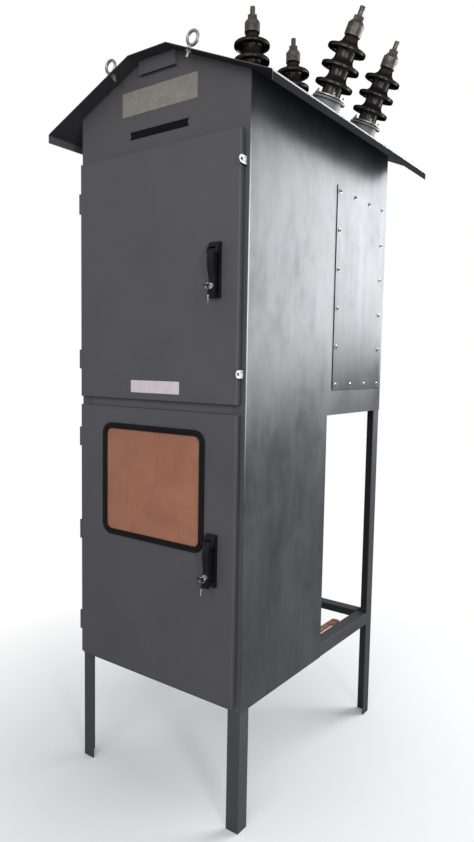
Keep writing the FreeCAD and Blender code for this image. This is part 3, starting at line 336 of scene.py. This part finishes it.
# Two tones each. A paint has the ends of its roughness and the depth of its waves after them, a metal
# its roughness and the scale of its patches, and a moulding its roughness, grain, depth and sheen.
MATERIALS = {
    "front_paint": paint("front_paint", (0.087, 0.086, 0.096), (0.075, 0.074, 0.083), 0.46, 0.56, 0.06),
    # Lighter than the doors: painted light in the recess between them.
    "rail_painted_light": paint("rail_painted_light", (0.112, 0.110, 0.120), (0.098, 0.096, 0.105), 0.46, 0.56, 0.04),
    "gable_paint": paint("gable_paint", (0.086, 0.084, 0.085), (0.074, 0.072, 0.074), 0.46, 0.56, 0.05),
    # The hood's faces that don't look to the front are lightened as painted light.
    "hood_paint_painted_side_light": paint("hood_paint_painted_side_light", (0.086, 0.084, 0.087), (0.074, 0.072, 0.076), 0.46, 0.56, 0.05,
                        sides=(0.17, 0.17, 0.175)),
    # The side walls carry a painted highlight down their front corners.
    "side_paint": paint("side_paint", *WALL_TONES, 0.29, 0.40, 0.34, patchy=0.20, edge=True),
    "panel_paint": paint("panel_paint", *WALL_TONES, 0.27, 0.38, 0.60, patchy=0.20,
                         fade=(1.45, 1.95, 0.30, 1.0)),
    # The frame gets painted shade towards the back.
    "frame_paint": paint("frame_paint", (0.066, 0.067, 0.073), (0.052, 0.053, 0.058), 0.46, 0.56, 0.05,
                         rear=(0.024, 0.025, 0.026)),
    # The roof's faces that look down carry painted shade and painted light.
    "roof_paint": paint("roof_paint", (0.050, 0.050, 0.056), (0.038, 0.038, 0.043), 0.46, 0.58, 0.12,
                        dust=0.45, painted_under_shade=PAINTED_UNDER_ROOF_SHADE, shine=0.06),
    # Painted shade on the outside of the eave lips.
    "lip_painted_shade": paint("lip_painted_shade", (0.034, 0.034, 0.038), (0.026, 0.026, 0.029), 0.55, 0.65, 0.04,
                       shine=0.0),
    # Painted highlight on the rounded eave bends.
    "bend_painted_highlight": paint("bend_painted_highlight", (0.80, 0.84, 0.83), (0.62, 0.66, 0.65), 0.34, 0.44, 0.02),
    "flange_paint": paint("flange_paint", (0.24, 0.24, 0.235), (0.15, 0.15, 0.147), 0.42, 0.55, 0.02),
    "brown_glaze": glaze(),
    "pale_zinc": metal("pale_zinc", (0.50, 0.49, 0.45), (0.27, 0.26, 0.24), 0.40, 55.0),
    "bolt_zinc": metal("bolt_zinc", (0.52, 0.51, 0.46), (0.28, 0.27, 0.22), 0.36, 90.0),
    "cap_metal": metal("cap_metal", (0.20, 0.18, 0.152), (0.076, 0.068, 0.058), 0.40, 42.0),
    # Dark steel for the screw heads, a painted reflection of shade.
    "head_steel_painted_dark_reflection": metal("head_steel_painted_dark_reflection", (0.12, 0.12, 0.11), (0.04, 0.04, 0.035), 0.45, 90.0),
    "copper": metal("copper", (0.66, 0.29, 0.17), (0.22, 0.09, 0.06), 0.40, 30.0),
    "black_plastic": moulded("black_plastic", (0.008, 0.008, 0.012), (0.005, 0.005, 0.008),
                             0.42, 900.0, 0.0002, 0.25),
    "black_rubber": moulded("black_rubber", (0.010, 0.010, 0.012), (0.006, 0.006, 0.007),
                            0.58, 700.0, 0.0003, 0.15),
    "bead_rubber": moulded("bead_rubber", (0.004, 0.004, 0.004), (0.003, 0.003, 0.003),
                           0.50, 700.0, 0.0003, 0.20),
    "tan_pane": tan_pane(),
    "name_plate": blank_plate("name_plate", (0.31, 0.295, 0.250), (0.24, 0.226, 0.192), 0.40, 0.3),
    "black_strip": blank_plate("black_strip", (0.005, 0.005, 0.006), (0.003, 0.003, 0.004), 0.5, shine=0.1),
    "pale_sticker": blank_plate("pale_sticker", (0.76, 0.66, 0.71), (0.66, 0.57, 0.61), 0.45),
    "key_steel": metal("key_steel", (0.74, 0.74, 0.74), (0.52, 0.52, 0.52), 0.26, 60.0),
}

# The CAD nodes that each finish covers.
NODE_FINISH = {
    "front_paint": ("lower_door", "upper_door", "front_left_stile", "front_right_stile",
                    "front_bottom_rail", "frame_hinges", "lower_door_hinges", "upper_door_hinges"),
    "rail_painted_light": ("front_middle_rail",),
    "gable_paint": ("front_gable",),
    "hood_paint_painted_side_light": ("vent_hood",),
    "side_paint": ("left_wall", "right_wall", "rear_wall", "lower_rear_wall"),
    "panel_paint": ("access_panels",),
    "frame_paint": ("corner_posts", "side_base_rails", "rear_base_rail", "upper_floor", "lower_floor"),
    "roof_paint": ("roof",),
    "flange_paint": ("bushing_turrets",),
    "pale_zinc": ("bushing_clamps", "padlock_lugs"),
    "bolt_zinc": ("eye_bolts",),
    "cap_metal": ("bushing_terminals",),
    "copper": ("earthing_bar",),
    "black_plastic": ("lower_handle_plate", "upper_handle_plate", "lower_lever", "upper_lever"),
    "key_steel": ("lower_lock", "upper_lock"),
    "black_rubber": ("window_rubber",),
    "tan_pane": ("window_pane",),
}


def dress(node, finish):
    """Give a CAD node its finish."""
    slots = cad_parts[node].data.materials
    slots.clear()
    slots.append(MATERIALS[finish])


for finish_name, node_names in NODE_FINISH.items():
    for node_name in node_names:
        dress(node_name, finish_name)
for node_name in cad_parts:
    if node_name.endswith("_bushing"):
        dress(node_name, "brown_glaze")

# The CAD nodes whose sharp edges are broken, by the width of the bevel.
EDGE_WIDTHS = {
    0.0008: ("left_wall", "right_wall", "front_left_stile", "front_right_stile", "front_bottom_rail",
             "front_middle_rail", "front_gable", "rear_wall", "lower_rear_wall", "roof", "vent_hood",
             "lower_handle_plate", "upper_handle_plate", "access_panels"),
    0.0012: ("corner_posts", "side_base_rails", "rear_base_rail", "lower_lever", "upper_lever",
             "padlock_lugs"),
}
for width, node_names in EDGE_WIDTHS.items():
    for node_name in node_names:
        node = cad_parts[node_name]
        weld = node.modifiers.new("weld", "WELD")
        weld.merge_threshold = 0.00002
        edge = node.modifiers.new("edge", "BEVEL")
        edge.width = width
        edge.segments = 2
        edge.limit_method = "ANGLE"
        edge.angle_limit = math.radians(50)
        edge.harden_normals = True


# Mesh code for the small pieces.

def turns(count):
    """Angles at even steps round a circle."""
    return [2 * math.pi * step / count for step in range(count)]


def prism(bm, outline, low, high, matrix=Matrix.Identity(4), taper=1.0, finish=0):
    """A prism on an outline in the local XY plane, its top drawn in by a taper."""
    foot = [bm.verts.new(matrix @ Vector((x, y, low))) for x, y in outline]
    head = [bm.verts.new(matrix @ Vector((x * taper, y * taper, high))) for x, y in outline]
    count = len(outline)
    faces = [bm.faces.new(list(reversed(foot))), bm.faces.new(head)]
    for index in range(count):
        after = (index + 1) % count
        faces.append(bm.faces.new((foot[index], foot[after], head[after], head[index])))
    for face in faces:
        face.material_index = finish


def lathe(bm, profile, matrix, sides):
    """A body turned about the local Z axis from (radius, height) pairs."""
    rings = []
    for radius, height in profile:
        angles = turns(sides) if radius else [0.0]
        rings.append([bm.verts.new(matrix @ Vector((radius * math.cos(a), radius * math.sin(a), height)))
                      for a in angles])
    for lower, upper in zip(rings, rings[1:]):
        for side in range(sides):
            after = (side + 1) % sides
            corners = []
            for ring, index in ((lower, side), (lower, after), (upper, after), (upper, side)):
                vertex = ring[index % len(ring)]
                if vertex not in corners:
                    corners.append(vertex)
            if len(corners) > 2:
                bm.faces.new(corners)


def loop_tube(bm, path, radius, matrix=Matrix.Identity(4), sides=8):
    """A round wire along a closed path of points."""
    count = len(path)
    loops = []
    across = None
    for index, point in enumerate(path):
        along = (Vector(path[(index + 1) % count]) - Vector(path[index - 1])).normalized()
        if across is None:
            across = along.orthogonal().normalized()
        else:
            across = (across - along * across.dot(along)).normalized()
        second = along.cross(across)
        spokes = [math.cos(a) * across + math.sin(a) * second for a in turns(sides)]
        loops.append([bm.verts.new(matrix @ (Vector(point) + radius * spoke)) for spoke in spokes])
    for one, two in zip(loops, loops[1:] + loops[:1]):
        shift = 0
        if two is loops[0]:
            shift = min(range(sides), key=lambda s: (one[0].co - two[s].co).length)
        for side in range(sides):
            after = (side + 1) % sides
            bm.faces.new((one[side], one[after], two[(after + shift) % sides], two[(side + shift) % sides]))


def hexagon(radius):
    """Outline of a hexagon, given by its corners' radius."""
    return [(radius * math.cos(math.pi / 3 * n), radius * math.sin(math.pi / 3 * n)) for n in range(6)]


def rounded(half_x, half_y, radius, steps=5):
    """Outline of a rectangle with rounded corners, about its middle."""
    outline = []
    for number, (sx, sy) in enumerate(((1, 1), (-1, 1), (-1, -1), (1, -1))):
        for step in range(steps + 1):
            angle = math.pi / 2 * (number + step / steps)
            outline.append((sx * (half_x - radius) + radius * math.cos(angle),
                            sy * (half_y - radius) + radius * math.sin(angle)))
    return outline


def bolt_head(bm, matrix, across, height, washer, finish=0):
    """A washer and a hexagon head with a chamfered top, standing on the local XY plane."""
    seat, shoulder = height * 0.32, height * 0.9
    lathe(bm, [(0, 0), (washer, 0), (washer, height * 0.25), (washer * 0.94, seat), (0, seat)], matrix, 20)
    prism(bm, hexagon(across), seat, shoulder, matrix, 1.0, finish)
    prism(bm, hexagon(across), shoulder, height, matrix, 0.86, finish)


def mesh_object(name, bm):
    """Turn finished mesh data into an object in the scene."""
    mesh = bpy.data.meshes.new(name)
    bm.to_mesh(mesh)
    bm.free()
    thing = bpy.data.objects.new(name, mesh)
    bpy.context.scene.collection.objects.link(thing)
    return thing


def piece(name, body, finish, build, smooth=35.0, bevel=0.0, others=()):
    """Build one mesh piece and let it ride on a body.

    Faces with a material index from 1 on get the other finishes.
    """
    bm = bmesh.new()
    build(bm)
    bmesh.ops.recalc_face_normals(bm, faces=bm.faces)
    thing = mesh_object(name, bm)
    for label in (finish, *others):
        thing.data.materials.append(MATERIALS[label])
    thing.data.shade_smooth()
    thing.data.set_sharp_from_angle(angle=math.radians(smooth))
    if bevel:
        modifier = thing.modifiers.new("edge", "BEVEL")
        modifier.width = bevel
        modifier.segments = 2
        modifier.limit_method = "ANGLE"
        modifier.angle_limit = math.radians(40)
    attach(thing, body)
    return thing


def on_surface(point, outward, spin=0.0):
    """Matrix that puts the local XY plane on a surface at a point, its Z axis outward."""
    turn = Vector(outward).to_track_quat("Z", "Y").to_matrix().to_4x4()
    return Matrix.Translation(Vector(point)) @ turn @ Matrix.Rotation(math.radians(spin), 4, "Z")


def panel_places():
    """Where the sixteen screws stand round an access panel."""
    near, far = PANEL_Y[0] + SCREW_INSET, PANEL_Y[1] - SCREW_INSET
    foot, head = PANEL_Z[0] + SCREW_INSET, PANEL_Z[1] - SCREW_INSET
    for row in range(6):
        height = foot + (head - foot) * row / 5
        for column in range(4):
            if row in (0, 5) or column in (0, 3):
                yield near + (far - near) * column / 3, height


def panel_screws(side):
    """Screws on the left (-1) or right (1) access panel, each turned by another angle."""
    def build(bm):
        for number, (y, z) in enumerate(panel_places()):
            place = on_surface((side * (BODY_HALF + PANEL_GAUGE), y, z), (side, 0, 0), 17 * number)
            bolt_head(bm, place, across=0.0052, height=0.0050, washer=0.0094, finish=1)
    return build


def bushing_matrices():
    """The seat of each bushing on the roof, from the front left to the rear right."""
    for y in BUSHING_ROWS:
        for x, lean in ((-BUSHING_SIDE, -SLOPE), (0.0, 0.0), (BUSHING_SIDE, SLOPE)):
            yield Matrix.Translation((x, y, roof_height(x))) @ Matrix.Rotation(lean, 4, "Y")


def flange_bolts(bm):
    """Four nuts on each bushing's clamp ring, each with the end of its bolt."""
    thread = [(0, 0.006), (0.0035, 0.006), (0.0035, 0.0125), (0.0028, 0.0135), (0, 0.0135)]
    for seat in bushing_matrices():
        for quarter in range(4):
            turn = math.radians(45 + 90 * quarter)
            place = (STUD_CIRCLE * math.cos(turn), STUD_CIRCLE * math.sin(turn), CLAMP_TOP)
            top = seat @ Matrix.Translation(place)
            bolt_head(bm, top, across=0.0062, height=0.0060, washer=0.0074)
            lathe(bm, thread, top, 12)


def plate_on(sizes, face, corner=0.0, notch=0.0):
    """A flat plate on a surface that faces the front, with rounded corners or notched ends."""
    left, right, foot, head, gauge = sizes
    centre = Vector(((left + right) / 2, face, (foot + head) / 2))
    half_x, half_z = (right - left) / 2, (head - foot) / 2
    if notch:
        outline = [(half_x, half_z), (-half_x, half_z), (-half_x + notch, 0),
                   (-half_x, -half_z), (half_x, -half_z), (half_x - notch, 0)]
    else:
        outline = rounded(half_x, half_z, corner)

    def build(bm):
        prism(bm, outline, 0.0, gauge, Matrix.Translation(centre) @ Matrix.Rotation(math.pi / 2, 4, "X"))
    return build


def plate_rivets(bm):
    """Small domed rivets in the corners of the plate on the gable."""
    left, right, foot, head, gauge = NAME_PLATE
    for x in (left + RIVET_INSET, right - RIVET_INSET):
        for z in (foot + RIVET_INSET, head - RIVET_INSET):
            place = on_surface((x, FRONT - gauge, z), (0, -1, 0))
            lathe(bm, [(0.0030, 0), (0.0027, 0.0008), (0.0016, 0.0014), (0, 0.0016)], place, 14)


def lever_matrix(door):
    """The lever's own frame: its pin, with the lever hanging down and standing out as at rest."""
    pin = Matrix.Translation((HANDLE_X, LEVER_PIN_Y, LEVER_PIN_Z[door]))
    return pin @ Matrix.Rotation(math.radians(-LEVER_TURN[door]), 4, "X")


RING_ACROSS = math.sqrt(RING ** 2 - RING_HANG ** 2)


def key_places(door):
    """Frames of the key in the lock, the ring and the hanging key.

    A key's frame has the hole in its bow at the origin and its blade along -Y.
    """
    hole_y = -LOCK_FACE - KEY_NECK - KEY_BOW - KEY_HOLE_INSET
    hole = lever_matrix(door) @ Matrix.Translation((0, hole_y, -LOCK_DROP))
    first = hole @ Matrix.Rotation(math.pi, 4, "Z")
    ring = hole @ Matrix.Rotation(math.radians(RING_TURN), 4, "Z")
    second = ring @ Matrix.Translation((RING_ACROSS, 0, -RING_HANG - RING))
    second = second @ Matrix.Rotation(math.pi / 2, 4, "X") @ Matrix.Rotation(math.pi / 2, 4, "Y")
    return first, ring, second


def key_bow(bm, matrix):
    """A moulded bow with rounded corners and a hole near its end."""
    count = 28
    outer = [(0.82 * KEY_BOW * math.cos(a) * (1.18 - 0.18 * abs(math.cos(a))),
              KEY_BOW * math.sin(a) - KEY_HOLE_INSET) for a in turns(count)]
    hole = [(KEY_HOLE * math.cos(a), KEY_HOLE * math.sin(a)) for a in turns(count)]
    rings = []
    for outline, height in ((outer, -0.5), (outer, 0.5), (hole, 0.5), (hole, -0.5)):
        rings.append([bm.verts.new(matrix @ Vector((x, y, height * KEY_GAUGE))) for x, y in outline])
    for one, two in zip(rings, rings[1:] + rings[:1]):
        for index in range(count):
            after = (index + 1) % count
            bm.faces.new((one[index], one[after], two[after], two[index]))


def key_blade(bm, matrix, length):
    """A flat blade with cuts along one edge, from inside the bow."""
    start, end = -0.016, -0.018 - length
    half = KEY_BLADE_WIDTH / 2
    outline = [(half, start), (half, end + 0.003), (0.0016, end), (-0.0014, end)]
    for number in range(KEY_CUTS):
        y = end + 0.002 + (length - 0.006) * number / KEY_CUTS
        outline += [(-0.0034, y + 0.0012), (-0.0018 - 0.0006 * (number % 3), y + 0.0030)]
    outline += [(-half, start - 0.003), (-half, start)]
    prism(bm, outline, -KEY_BLADE / 2, KEY_BLADE / 2, matrix)


def key_heads(door):
    """The bows of a door's two keys."""
    def build(bm):
        first, ring, second = key_places(door)
        key_bow(bm, first)
        key_bow(bm, second)
    return build


def key_metal(door):
    """The blades of a door's two keys and the split ring between them."""
    def build(bm):
        first, ring, second = key_places(door)
        key_blade(bm, first, KEY_SHOWN)
        key_blade(bm, second, KEY_LENGTH)
        for side in (-1, 1):
            path = [(RING_ACROSS + RING * math.cos(a), RING_COIL * side, -RING_HANG + RING * math.sin(a))
                    for a in turns(40)]
            loop_tube(bm, path, RING_WIRE, ring)
    return build


def window_bead(bm):
    """The filler strip pressed into the window rubber's front."""
    outline = rounded(DOOR_HALF - WINDOW_MARGIN - BEAD_INSET, WINDOW_HALF - BEAD_INSET, BEAD_CORNER, 10)
    centre = LOWER_DOOR_FOOT + LOWER_DOOR_HEIGHT - WINDOW_DROP - WINDOW_HALF
    loop_tube(bm, [(x, DOOR_FACE - BEAD_PROUD, centre + z) for x, z in outline], BEAD_RADIUS)


# The finishes of the roof's faces, by material index: painted highlight on the eave bends and painted shade
# on the lips' outside.
SHEET, BEND, LIP = 0, 1, 2


def roof_line():
    """The roof's outside from the left lip to the right one.

    Each entry is a point, its normal and the finish that starts there.
    """
    eave = roof_height(EAVE_X)
    corners = [(-EAVE_X, eave - EAVE_LIP), (-EAVE_X, eave), (-FLAT_HALF, ROOF_TOP),
               (FLAT_HALF, ROOF_TOP), (EAVE_X, eave), (EAVE_X, eave - EAVE_LIP)]
    last = len(corners) - 1
    line = []
    for index, corner in enumerate(corners):
        here = Vector(corner)
        near = corners[max(index - 1, 0):index + 2]
        sides = [(Vector(b) - Vector(a)).normalized() for a, b in zip(near, near[1:])]
        normals = [Vector((-side.y, side.x)) for side in sides]
        if index in (0, last):
            line.append((here, normals[0], LIP if index == 0 else SHEET))
            continue
        at_eave = index in (1, last - 1)
        radius = EAVE_BEND if at_eave else RIDGE_BEND
        turn = math.acos(max(-1, min(1, normals[0].dot(normals[1]))))
        centre = here - (normals[0] + normals[1]).normalized() * radius / math.cos(turn / 2)
        after = LIP if index == last - 1 else SHEET
        for step in range(BEND_STEPS + 1):
            normal = normals[0].slerp(normals[1], step / BEND_STEPS)
            starts = BEND if at_eave and step < BEND_STEPS else after
            line.append((centre + normal * radius, normal, starts))
    return line


def folded_roof(bm):
    """The roof sheet with rounded bends."""
    line = roof_line()
    rows = []
    for y in (ROOF_FRONT, ROOF_REAR):
        outer = [bm.verts.new((p.x, y, p.y)) for p, n, finish in line]
        inner = [bm.verts.new((p.x - n.x * ROOF_SHEET, y, p.y - n.y * ROOF_SHEET)) for p, n, finish in line]
        rows.append((outer, inner))
    (outer, inner), (outer_rear, inner_rear) = rows
    for index in range(len(line) - 1):
        after = index + 1
        top = bm.faces.new((outer[index], outer[after], outer_rear[after], outer_rear[index]))
        bm.faces.new((inner[index], inner_rear[index], inner_rear[after], inner[after]))
        bm.faces.new((outer[index], inner[index], inner[after], outer[after]))
        bm.faces.new((outer_rear[index], outer_rear[after], inner_rear[after], inner_rear[index]))
        top.material_index = line[index][2]
    for index in (0, -1):
        bm.faces.new((outer[index], outer_rear[index], inner_rear[index], inner[index]))


# Half outline of the porcelain: (radius, height) over its seat for the foot, over the shed's rim for
# the underside of a shed with its inner skirt and drip lip, for its top, and for the top of the last one.
PORCELAIN_FOOT = [(0, 0), (0.042, 0), (0.042, 0.005), (0.0375, 0.0062), (0.036, 0.010)]
SHED_UNDER = [
    (0.0360, -0.0100), (0.0375, -0.0040), (0.0420, -0.0015), (0.0475, -0.0010), (0.0505, -0.0025),
    (0.0512, -0.0055), (0.0535, -0.0062), (0.0555, -0.0050), (0.0568, -0.0018), (0.0600, -0.0008),
    (0.0635, -0.0020), (0.0655, -0.0065), (0.0665, -0.0088), (0.0685, -0.0092), (0.0701, -0.0078),
    (0.0705, -0.0045), (0.0705, -0.0005), (0.0698, 0.0022), (0.0680, 0.0042), (0.0650, 0.0054),
]
SHED_TOP = [(0.0600, 0.0064), (0.0540, 0.0080), (0.0480, 0.0104), (0.0430, 0.0138), (0.0392, 0.0182),
            (0.0366, 0.0240), (0.0350, 0.0310)]
CROWN_TOP = [(0.0600, 0.0066), (0.0530, 0.0086), (0.0460, 0.0112), (0.0395, 0.0148), (0.0335, 0.0196),
             (0.0292, 0.0256), (0.0268, 0.0330)]


def porcelain_profile():
    """Half outline of the porcelain: a stem and three sheds."""
    crown = FLANGE_TOP + PORCELAIN_HEIGHT
    outline = [(radius, FLANGE_TOP + height) for radius, height in PORCELAIN_FOOT]
    for number in range(SHED_COUNT):
        rim = FLANGE_TOP + SHED_FIRST + SHED_PITCH * number
        top = CROWN_TOP if number == SHED_COUNT - 1 else SHED_TOP
        outline += [(radius, rim + height) for radius, height in SHED_UNDER + top]
    return outline + [(0.0240, crown - 0.0005), (0.0235, crown), (0, crown)]


def porcelain(seat):
    """One bushing's porcelain on its seat."""
    def build(bm):
        lathe(bm, porcelain_profile(), seat, 56)
    return build


# The small pieces: name, body, finish and the function that builds the mesh.

roof_sheet = piece("folded_roof", "kiosk", "roof_paint", folded_roof, smooth=40,
                   others=("bend_painted_highlight", "lip_painted_shade"))
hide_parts("roof")
ROWS_AND_SIDES = [f"{row}_{side}" for row in ("front", "rear") for side in ("left", "middle", "right")]
for place_name, seat in zip(ROWS_AND_SIDES, bushing_matrices()):
    stem = piece(f"{place_name}_porcelain", "kiosk", "brown_glaze", porcelain(seat),
                 smooth=50)
    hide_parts(f"{place_name}_bushing")
for door in ("lower", "upper"):
    heads = piece(f"{door}_key_heads", f"{door}_lever", "black_plastic", key_heads(door),
                  smooth=50, bevel=0.0005)
    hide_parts(f"{door}_keys")
    piece(f"{door}_key_metal", f"{door}_lever", "key_steel", key_metal(door), smooth=50)
piece("window_bead", "lower_door", "bead_rubber", window_bead, smooth=60)
piece("right_panel_screws", "kiosk", "bolt_zinc", panel_screws(1), others=("head_steel_painted_dark_reflection",))
piece("left_panel_screws", "kiosk", "bolt_zinc", panel_screws(-1), others=("head_steel_painted_dark_reflection",))
piece("bushing_flange_bolts", "kiosk", "bolt_zinc", flange_bolts)
piece("gable_plate", "kiosk", "name_plate", plate_on(NAME_PLATE, FRONT, 0.002))
piece("gable_plate_rivets", "kiosk", "bolt_zinc", plate_rivets)
piece("gable_strip", "kiosk", "black_strip", plate_on(STRIP, FRONT, notch=STRIP_NOTCH))
piece("door_sticker", "upper_door", "pale_sticker", plate_on(STICKER, DOOR_FACE, 0.002))


# Floor, lights and camera.

def stage():
    """A pale floor that runs out into white."""
    bm = bmesh.new()
    prism(bm, rounded(7.0, 7.0, 2.0), -0.02, 0.0)
    floor = mesh_object("floor", bm)
    finish = Finish("floor", (0.86, 0.86, 0.86), 0.8)
    sight = finish.nodes.new("ShaderNodeLightPath").outputs["Is Camera Ray"]
    finish.color(finish.mix(sight, (0.40, 0.40, 0.41), (0.88, 0.88, 0.88)))
    away = finish.nodes.new("ShaderNodeVectorMath")
    away.operation = "LENGTH"
    finish.links.new(finish.place, away.inputs[0])
    fade = finish.spread(away.outputs["Value"], 0.5, 1.7)
    white = finish.nodes.new("ShaderNodeEmission")
    white.inputs["Strength"].default_value = 1.0
    blend = finish.nodes.new("ShaderNodeMixShader")
    finish.links.new(finish.math("MULTIPLY", fade, sight), blend.inputs["Fac"])
    finish.links.new(finish.shader.outputs["BSDF"], blend.inputs[1])
    finish.links.new(white.outputs["Emission"], blend.inputs[2])
    finish.links.new(blend.outputs["Shader"], finish.nodes["Material Output"].inputs["Surface"])
    floor.data.materials.append(finish.material)


def surroundings():
    """A dim sky that lights the part, and white for the camera."""
    world = bpy.data.worlds.new("surroundings")
    bpy.context.scene.world = world
    world.use_nodes = True
    nodes, links = world.node_tree.nodes, world.node_tree.links
    dim = nodes["Background"]
    dim.inputs["Color"].default_value = (0.93, 0.95, 1.0, 1)
    dim.inputs["Strength"].default_value = 0.50
    white = nodes.new("ShaderNodeBackground")
    white.inputs["Color"].default_value = (1, 1, 1, 1)
    white.inputs["Strength"].default_value = 1.0
    blend = nodes.new("ShaderNodeMixShader")
    links.new(nodes.new("ShaderNodeLightPath").outputs["Is Camera Ray"], blend.inputs["Fac"])
    links.new(dim.outputs["Background"], blend.inputs[1])
    links.new(white.outputs["Background"], blend.inputs[2])
    links.new(blend.outputs["Shader"], nodes["World Output"].inputs["Surface"])


COOL = (0.93, 0.97, 1.0)


def softbox(name, place, target, width, height, radiance, tint=(1.0, 1.0, 1.0), roll=0.0):
    """A soft panel light, given by how bright its face is."""
    data = bpy.data.lights.new(name, "AREA")
    data.shape = "RECTANGLE"
    data.size = width
    data.size_y = height
    data.energy = radiance * math.pi * width * height
    data.color = tint
    lamp = bpy.data.objects.new(name, data)
    bpy.context.scene.collection.objects.link(lamp)
    lamp.location = place
    lamp.rotation_mode = "QUATERNION"
    aim = (Vector(target) - Vector(place)).to_track_quat("-Z", "Y")
    lamp.rotation_quaternion = aim @ Matrix.Rotation(math.radians(roll), 3, "Z").to_quaternion()


# The photograph's viewpoint: metres, radians, and the focal length and the picture's height in pixels.
EYE = (1.55583, -2.18418, 1.54081)
YAW, PITCH, ROLL = 0.62846, -0.08564, 0.01758
FOCAL_LENGTH, PICTURE_HEIGHT = 660.72, 842
SENSOR = 36.0


def camera():
    """The camera at the photograph's viewpoint."""
    ahead = Vector((-math.sin(YAW) * math.cos(PITCH), math.cos(YAW) * math.cos(PITCH), math.sin(PITCH)))
    right = Vector((math.cos(YAW), math.sin(YAW), 0))
    up = right.cross(ahead)
    across = math.cos(ROLL) * right + math.sin(ROLL) * up
    upward = -math.sin(ROLL) * right + math.cos(ROLL) * up
    data = bpy.data.cameras.new("camera")
    data.sensor_width = SENSOR
    data.lens = SENSOR * FOCAL_LENGTH / PICTURE_HEIGHT
    data.clip_end = 60.0
    eye = bpy.data.objects.new("camera", data)
    bpy.context.scene.collection.objects.link(eye)
    eye.matrix_world = Matrix.Translation(EYE) @ Matrix((across, upward, -ahead)).transposed().to_4x4()
    bpy.context.scene.camera = eye


stage()
surroundings()
softbox("front_light", (1.3, -4.6, 3.0), (0, 0, 1.3), 3.0, 2.2, 3.35)
softbox("rear_light", (2.1, 2.9, 2.5), (0.375, 0.0, 1.9), 2.6, 2.1, 7.4, COOL, roll=16)
softbox("low_light", (3.31, 2.49, 0.97), (0.375, -0.4, 1.3), 1.2, 1.0, 4.2, COOL)
softbox("edge_light", (4.1, -2.9, 2.2), (0.2, -0.3, 1.6), 0.7, 2.4, 10.0)
camera()
bpy.context.scene.view_settings.view_transform = "Standard"
